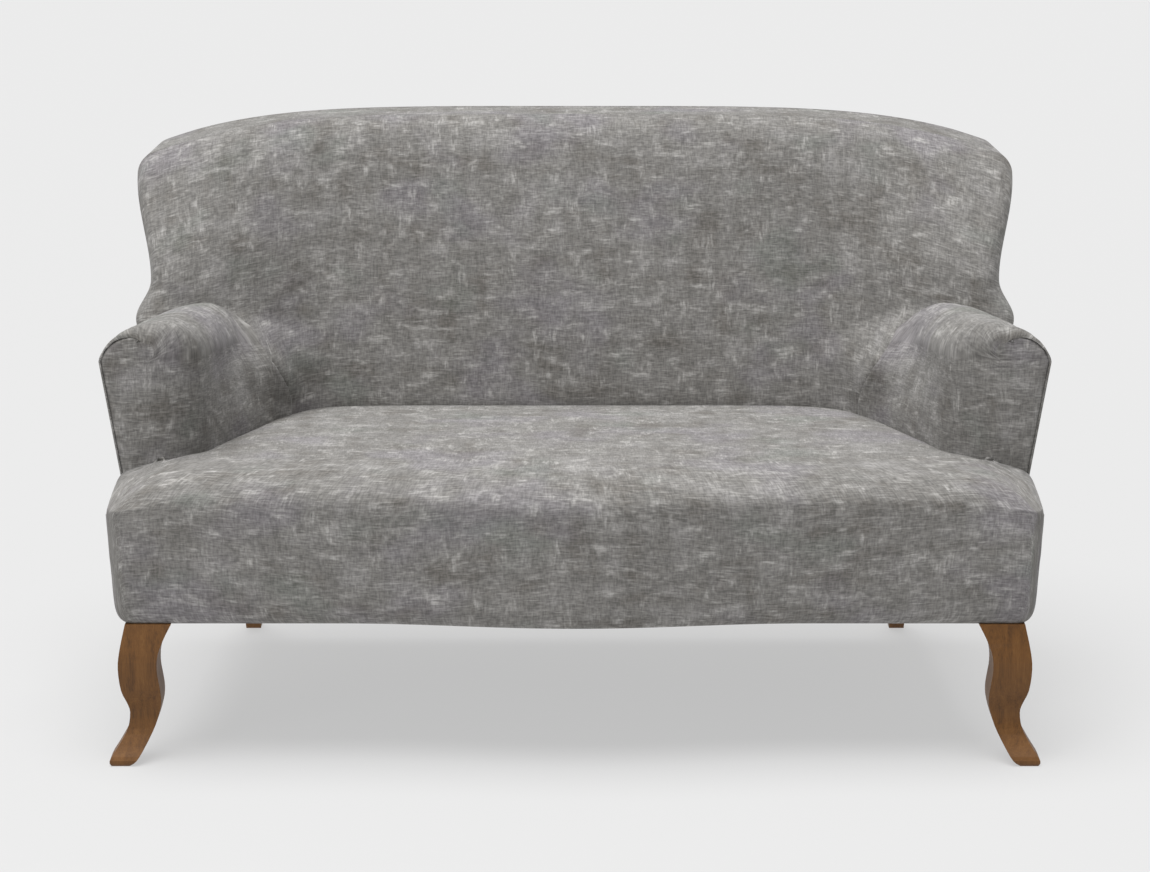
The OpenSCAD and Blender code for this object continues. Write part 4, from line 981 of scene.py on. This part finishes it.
def frontRow(p, inner):
    # One row across the arm's front, from the inside edge to the outer one or to the crease
    y, pivot = seat["armsFrom"], arm["pivot"] / arm["finer"]
    onRoll = p < arm["rollParts"]
    if onRoll:
        q = pivot * (arm["rollParts"] - p) / (arm["rollParts"] - pivot)
        x, z = armXz(q, y, noseR(q))
    else:
        q = 0
        x, z = outerX(inner.z, y) - arm["nose"][0], inner.z
    outer = place(x, y, z)
    crease = smooth((pivot - q) / facing["creaseRun"])
    row, width = [], (outer - inner).length
    for s in steps(facing["columns"]):
        point = inner.lerp(outer, s)
        lap = facing["lap"] * crease * s
        point.x -= lap
        point.z -= lap if onRoll else 0
        point.y += crease * roundIn(facing["round"], width * (1 - s))
        row.append(point)
    return row


def armPiece(side):
    # Rows run up the inside face and out over the roll. The same cloth turns over the nose and closes
    # the arm's front, and it is pleated into a crease under the outer half of the roll
    parts = armParts * arm["finer"]
    rows = [armRow(k / arm["finer"], armEnd(k / arm["finer"])) for k in range(parts, -1, -1)]
    cloth = clothUv(rows, len(rows[0]) - 1, offset=(0.3, 0.2))
    edge = [(k / arm["finer"], rows[parts - k][-1]) for k in range(parts, arm["pivot"] - 1, -1)]
    front = [frontRow(p, inner) for p, inner in edge if inner.z >= facing["foot"]]
    foot, (u, v) = rows[0][-1], cloth[0][-1]
    frontCloth = [[(u + p.x - foot.x, v + p.z - foot.z) for p in row] for row in front]
    if side == "Left":
        rows, cloth = mirrored(rows, cloth)
        front, frontCloth = mirrored(front, frontCloth)
    obj = gridMesh("armCover" + side, rows, cloth)
    extra = gridMesh("armFront" + side, front, frontCloth)
    mesh = bmesh.new()
    mesh.from_mesh(obj.data)
    mesh.from_mesh(extra.data)
    bmesh.ops.remove_doubles(mesh, verts=mesh.verts, dist=facing["merge"])
    creaseEnd = front[-1][0].copy()
    pleat = [v for v in mesh.verts if (v.co - creaseEnd).length < facing["pleat"]]
    bmesh.ops.remove_doubles(mesh, verts=pleat, dist=facing["pleat"] / 4)
    mesh.verts.index_update()
    held = [v.index for v in mesh.verts
            if v.is_boundary or (v.co - creaseEnd).length < 1.5 * facing["pleat"]]
    mesh.to_mesh(obj.data)
    mesh.free()
    bpy.data.objects.remove(extra)
    return obj, held


arms = {side: armPiece(side) for side in ("Right", "Left")}
stuffed(list(arms.values()), arm["swell"])
for side, (obj, held) in arms.items():
    name = side.lower()
    finishCover(obj, ["arm_cover_" + name, "arm_facing_" + name])

outsideArm = {"levels": 24, "edge": (0, 0.08, 0.2, 0.4, 0.7, 1), "columns": 26}


def outsideArmRows():
    # Seen from outside: rows up, columns from the arm front to the outside back
    rows, r = [], arm["nose"][0]
    for t in steps(outsideArm["levels"]):
        row = []
        for s in outsideArm["edge"]:
            y = seat["armsFrom"] + r * s
            z = mix(sofa["legTop"], armMid(y) - sofa["gap"], t)
            row.append(place(outerX(z, y) - roundIn(r, r * s), y, z))
        rear = rearY(mix(sofa["legTop"], armMid(sofa["bodyDepth"]), t)) - sofa["skin"]
        for s in steps(outsideArm["columns"])[1:]:
            y = mix(seat["armsFrom"] + r, rear, s)
            z = mix(sofa["legTop"], armMid(y) - sofa["gap"], t)
            row.append(place(outerX(z, y), y, z))
        rows.append(row)
    return rows


rows = outsideArmRows()
cloth = clothUv(rows, 0, offset=(0.7, 0.4))
finishCover(gridMesh("outsideArmRight", rows, cloth), ["outside_arm_right"])
finishCover(gridMesh("outsideArmLeft", *mirrored(rows, cloth)), ["outside_arm_left"])
report("arms")


# Stuffing and linings are cut from their solids with an uneven face, and the foams settle as the covers do
inside = {
    "foam": ["seat_foam", "front_padding", "back_foam", "arm_foam_left", "arm_foam_right"],
    "hessian": ["seat_hessian", "back_hessian", "arm_hessian_left", "arm_hessian_right"],
    "jute_webbing": ["back_webbing"],
    "black_base_cloth": ["base_cloth"],
}
# How finely the soft solids are cut, and how uneven their faces get
softFace = {"merge": 0.00002, "longEdge": 0.06, "cuts": 2, "unevenness": 0.0002, "fineness": 40}


def slumped(p):
    # The roll's outer shoulder, as armXz draws it
    y = p.y + sofa["originDepth"]
    half, rise = rollWidth(y) / 2, p.z - armMid(y)
    across = (abs(p.x) - rollOut(y) + half) / half
    return p.z if rise <= 0 else armMid(y) + rise * rollShape(across, y)


def softCopy(node, slotName):
    words = node.split("_")
    name = words[0] + "".join(w.capitalize() for w in words[1:])
    made = bpy.data.meshes.new(name)
    mesh = bmesh.new()
    mesh.from_mesh(nodes[node].data)
    bmesh.ops.remove_doubles(mesh, verts=mesh.verts, dist=softFace["merge"])
    longEdges = [e for e in mesh.edges if e.calc_length() > softFace["longEdge"]]
    bmesh.ops.subdivide_edges(mesh, edges=longEdges, cuts=softFace["cuts"], use_grid_fill=True)
    mesh.normal_update()
    for v in mesh.verts:
        v.co -= v.normal * softFace["unevenness"] * (1 + noise.noise(v.co * softFace["fineness"]))
        if node in ("seat_foam", "front_padding"):
            v.co = settled(v.co, foam=True)
        if node == "front_padding" and footIn(v.co.z) > 0:
            cover = frontIn(v.co.z) + footIn(v.co.z) * seat["footFront"]
            inner = cover + sofa["cloth"] + 2 * sofa["gap"]
            v.co.y = max(v.co.y, bow(v.co.x) + inner - sofa["originDepth"])
        if node.startswith("arm_foam"):
            v.co.z = slumped(v.co)
    mesh.to_mesh(made)
    mesh.free()
    for face in made.polygons:
        face.use_smooth = False
    obj = bpy.data.objects.new(name, made)
    scene.collection.objects.link(obj)
    made.materials.clear()
    made.materials.append(materials[slotName])
    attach(obj, "root")
    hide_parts(node)
    return obj


# What each lining is cut to, in metres, its area where the cut isn't a rectangle, and what holds it
linings = {
    "seat_hessian": (1.338, 0.696, 0.878, ["side_rail_left", "side_rail_right", "seat_springs"]),
    "back_hessian": (1.385, 0.47, 0.62, ["top_rail", "back_tack_rail", "back_post_left"]),
    "arm_hessian_left": (0.3, 0.25, 0.071, ["arm_top_rail_left", "arm_tack_rail_left"]),
    "arm_hessian_right": (0.3, 0.25, 0.071, ["arm_top_rail_right", "arm_tack_rail_right"]),
    "back_webbing": (1.404, 0.47, 0.392, ["back_post_left", "back_post_right", "top_rail"]),
    "base_cloth": (1.385, 0.709, 0.91, ["front_rail", "back_rail", "side_rail_left"]),
}
for slotName, members in inside.items():
    for node in members:
        piece = softCopy(node, slotName)
        if slotName == "foam":
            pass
        else:
            width, length, area, under = linings[node]
report("inside")

# Rigid nodes keep their shape and take the finish of their slot
rigid = {
    "frame_beech": ["front_rail", "back_rail", "side_rail_left", "side_rail_right", "centre_stretcher",
                    "corner_blocks", "back_post_left", "back_post_right", "top_rail", "back_tack_rail",
                    "back_slats", "arm_board_left", "arm_board_right", "arm_top_rail_left",
                    "arm_top_rail_right", "arm_tack_rail_left", "arm_tack_rail_right", "frame_dowels"],
    "stained_beech_leg": ["front_leg_left", "front_leg_right", "rear_leg_left", "rear_leg_right"],
    "spring_wire": ["seat_springs", "spring_tie_wires"],
    "zinc_steel": ["spring_clips", "leg_bolts", "leg_inserts"],
}
# The legs' arrises are eased
legEdge = {"merge": 0.00002, "width": 0.0022, "segments": 2, "angle": 40}
for slotName, members in rigid.items():
    for node in members:
        obj = nodes[node]
        obj.data.materials.clear()
        obj.data.materials.append(materials[slotName])
        if slotName == "stained_beech_leg":
            weld = obj.modifiers.new("weld", "WELD")
            weld.merge_threshold = legEdge["merge"]
            arris = obj.modifiers.new("arris", "BEVEL")
            arris.width, arris.segments = legEdge["width"], legEdge["segments"]
            arris.angle_limit = math.radians(legEdge["angle"])
            arris.harden_normals = False
report("rigid nodes")

# Floor, lights and camera
studio = {
    "floor": "#7b7b7b",
    "floorFrom": (-40, -15),
    "floorTo": (40, 65),
    "glow": 0.5,
    "sky": 0.35,
    "backdrop": 0.83,
    "sun": 4.2,
    "sunAngle": 50,
    "sunTurn": (3, -6, 0),
    "key": {"at": (-3.6, -4.6, 2.0), "target": (0, 0, 0.5), "size": (2.6, 2.2), "power": 68},
    "camera": (0.0, -6.001, 1.904),
    "pitch": 0.239029,
    "sensor": 36,
    "focal": 3706 / 1150 * 36,
    "farthest": 200,
}
(left, front), (right, rear) = studio["floorFrom"], studio["floorTo"]
corners = [(left, front, 0), (right, front, 0), (right, rear, 0), (left, rear, 0)]
floorMesh = bpy.data.meshes.new("floor")
floorMesh.from_pydata(corners, [], [(0, 1, 2, 3)])
floor = bpy.data.objects.new("floor", floorMesh)
scene.collection.objects.link(floor)
# A pale matt sweep that is also lit from below, as a product table is, so that shadows stay light
floorFinish, _, _ = newMaterial("paleFloor", {
    "Base Color": linear(studio["floor"]), "Roughness": 1.0, "Specular IOR Level": 0.0,
    "Emission Color": (1, 1, 1, 1), "Emission Strength": studio["glow"],
})
floorMesh.materials.append(floorFinish)

# The room's soft light; the camera sees the sweep's own tone above the horizon
world = bpy.data.worlds.new("studio")
world.use_nodes = True
sky = world.node_tree
seen = addNode(sky, "ShaderNodeLightPath").outputs["Is Camera Ray"]
strength = addNode(sky, "ShaderNodeMath", {
    "operation": "MULTIPLY_ADD", 1: studio["backdrop"] - studio["sky"], 2: studio["sky"],
}, {0: seen})
sky.nodes["Background"].inputs["Color"].default_value = (1, 1, 1, 1)
sky.links.new(strength.outputs[0], sky.nodes["Background"].inputs["Strength"])
scene.world = world


def softbox(name, at, target, size, power):
    lamp = bpy.data.lights.new(name, "AREA")
    lamp.shape, lamp.size, lamp.size_y, lamp.energy = "RECTANGLE", *size, power
    obj = bpy.data.objects.new(name, lamp)
    scene.collection.objects.link(obj)
    obj.location = at
    obj.rotation_euler = (Vector(target) - Vector(at)).to_track_quat("-Z", "Y").to_euler()


# A far overhead sun through a wide scrim keeps the floor even, and a soft key comes from the left
sun = bpy.data.lights.new("overhead", "SUN")
sun.energy, sun.angle = studio["sun"], math.radians(studio["sunAngle"])
overhead = bpy.data.objects.new("overhead", sun)
scene.collection.objects.link(overhead)
overhead.rotation_euler = [math.radians(turn) for turn in studio["sunTurn"]]
softbox("key", **studio["key"])

lens = bpy.data.cameras.new("camera")
lens.lens, lens.sensor_width, lens.clip_end = studio["focal"], studio["sensor"], studio["farthest"]
camera = bpy.data.objects.new("camera", lens)
scene.collection.objects.link(camera)
camera.location = studio["camera"]
camera.rotation_euler = (math.pi / 2 - studio["pitch"], 0, 0)
scene.camera = camera
scene.view_settings.view_transform = "Standard"
report("studio")

bpy.context.view_layer.update()
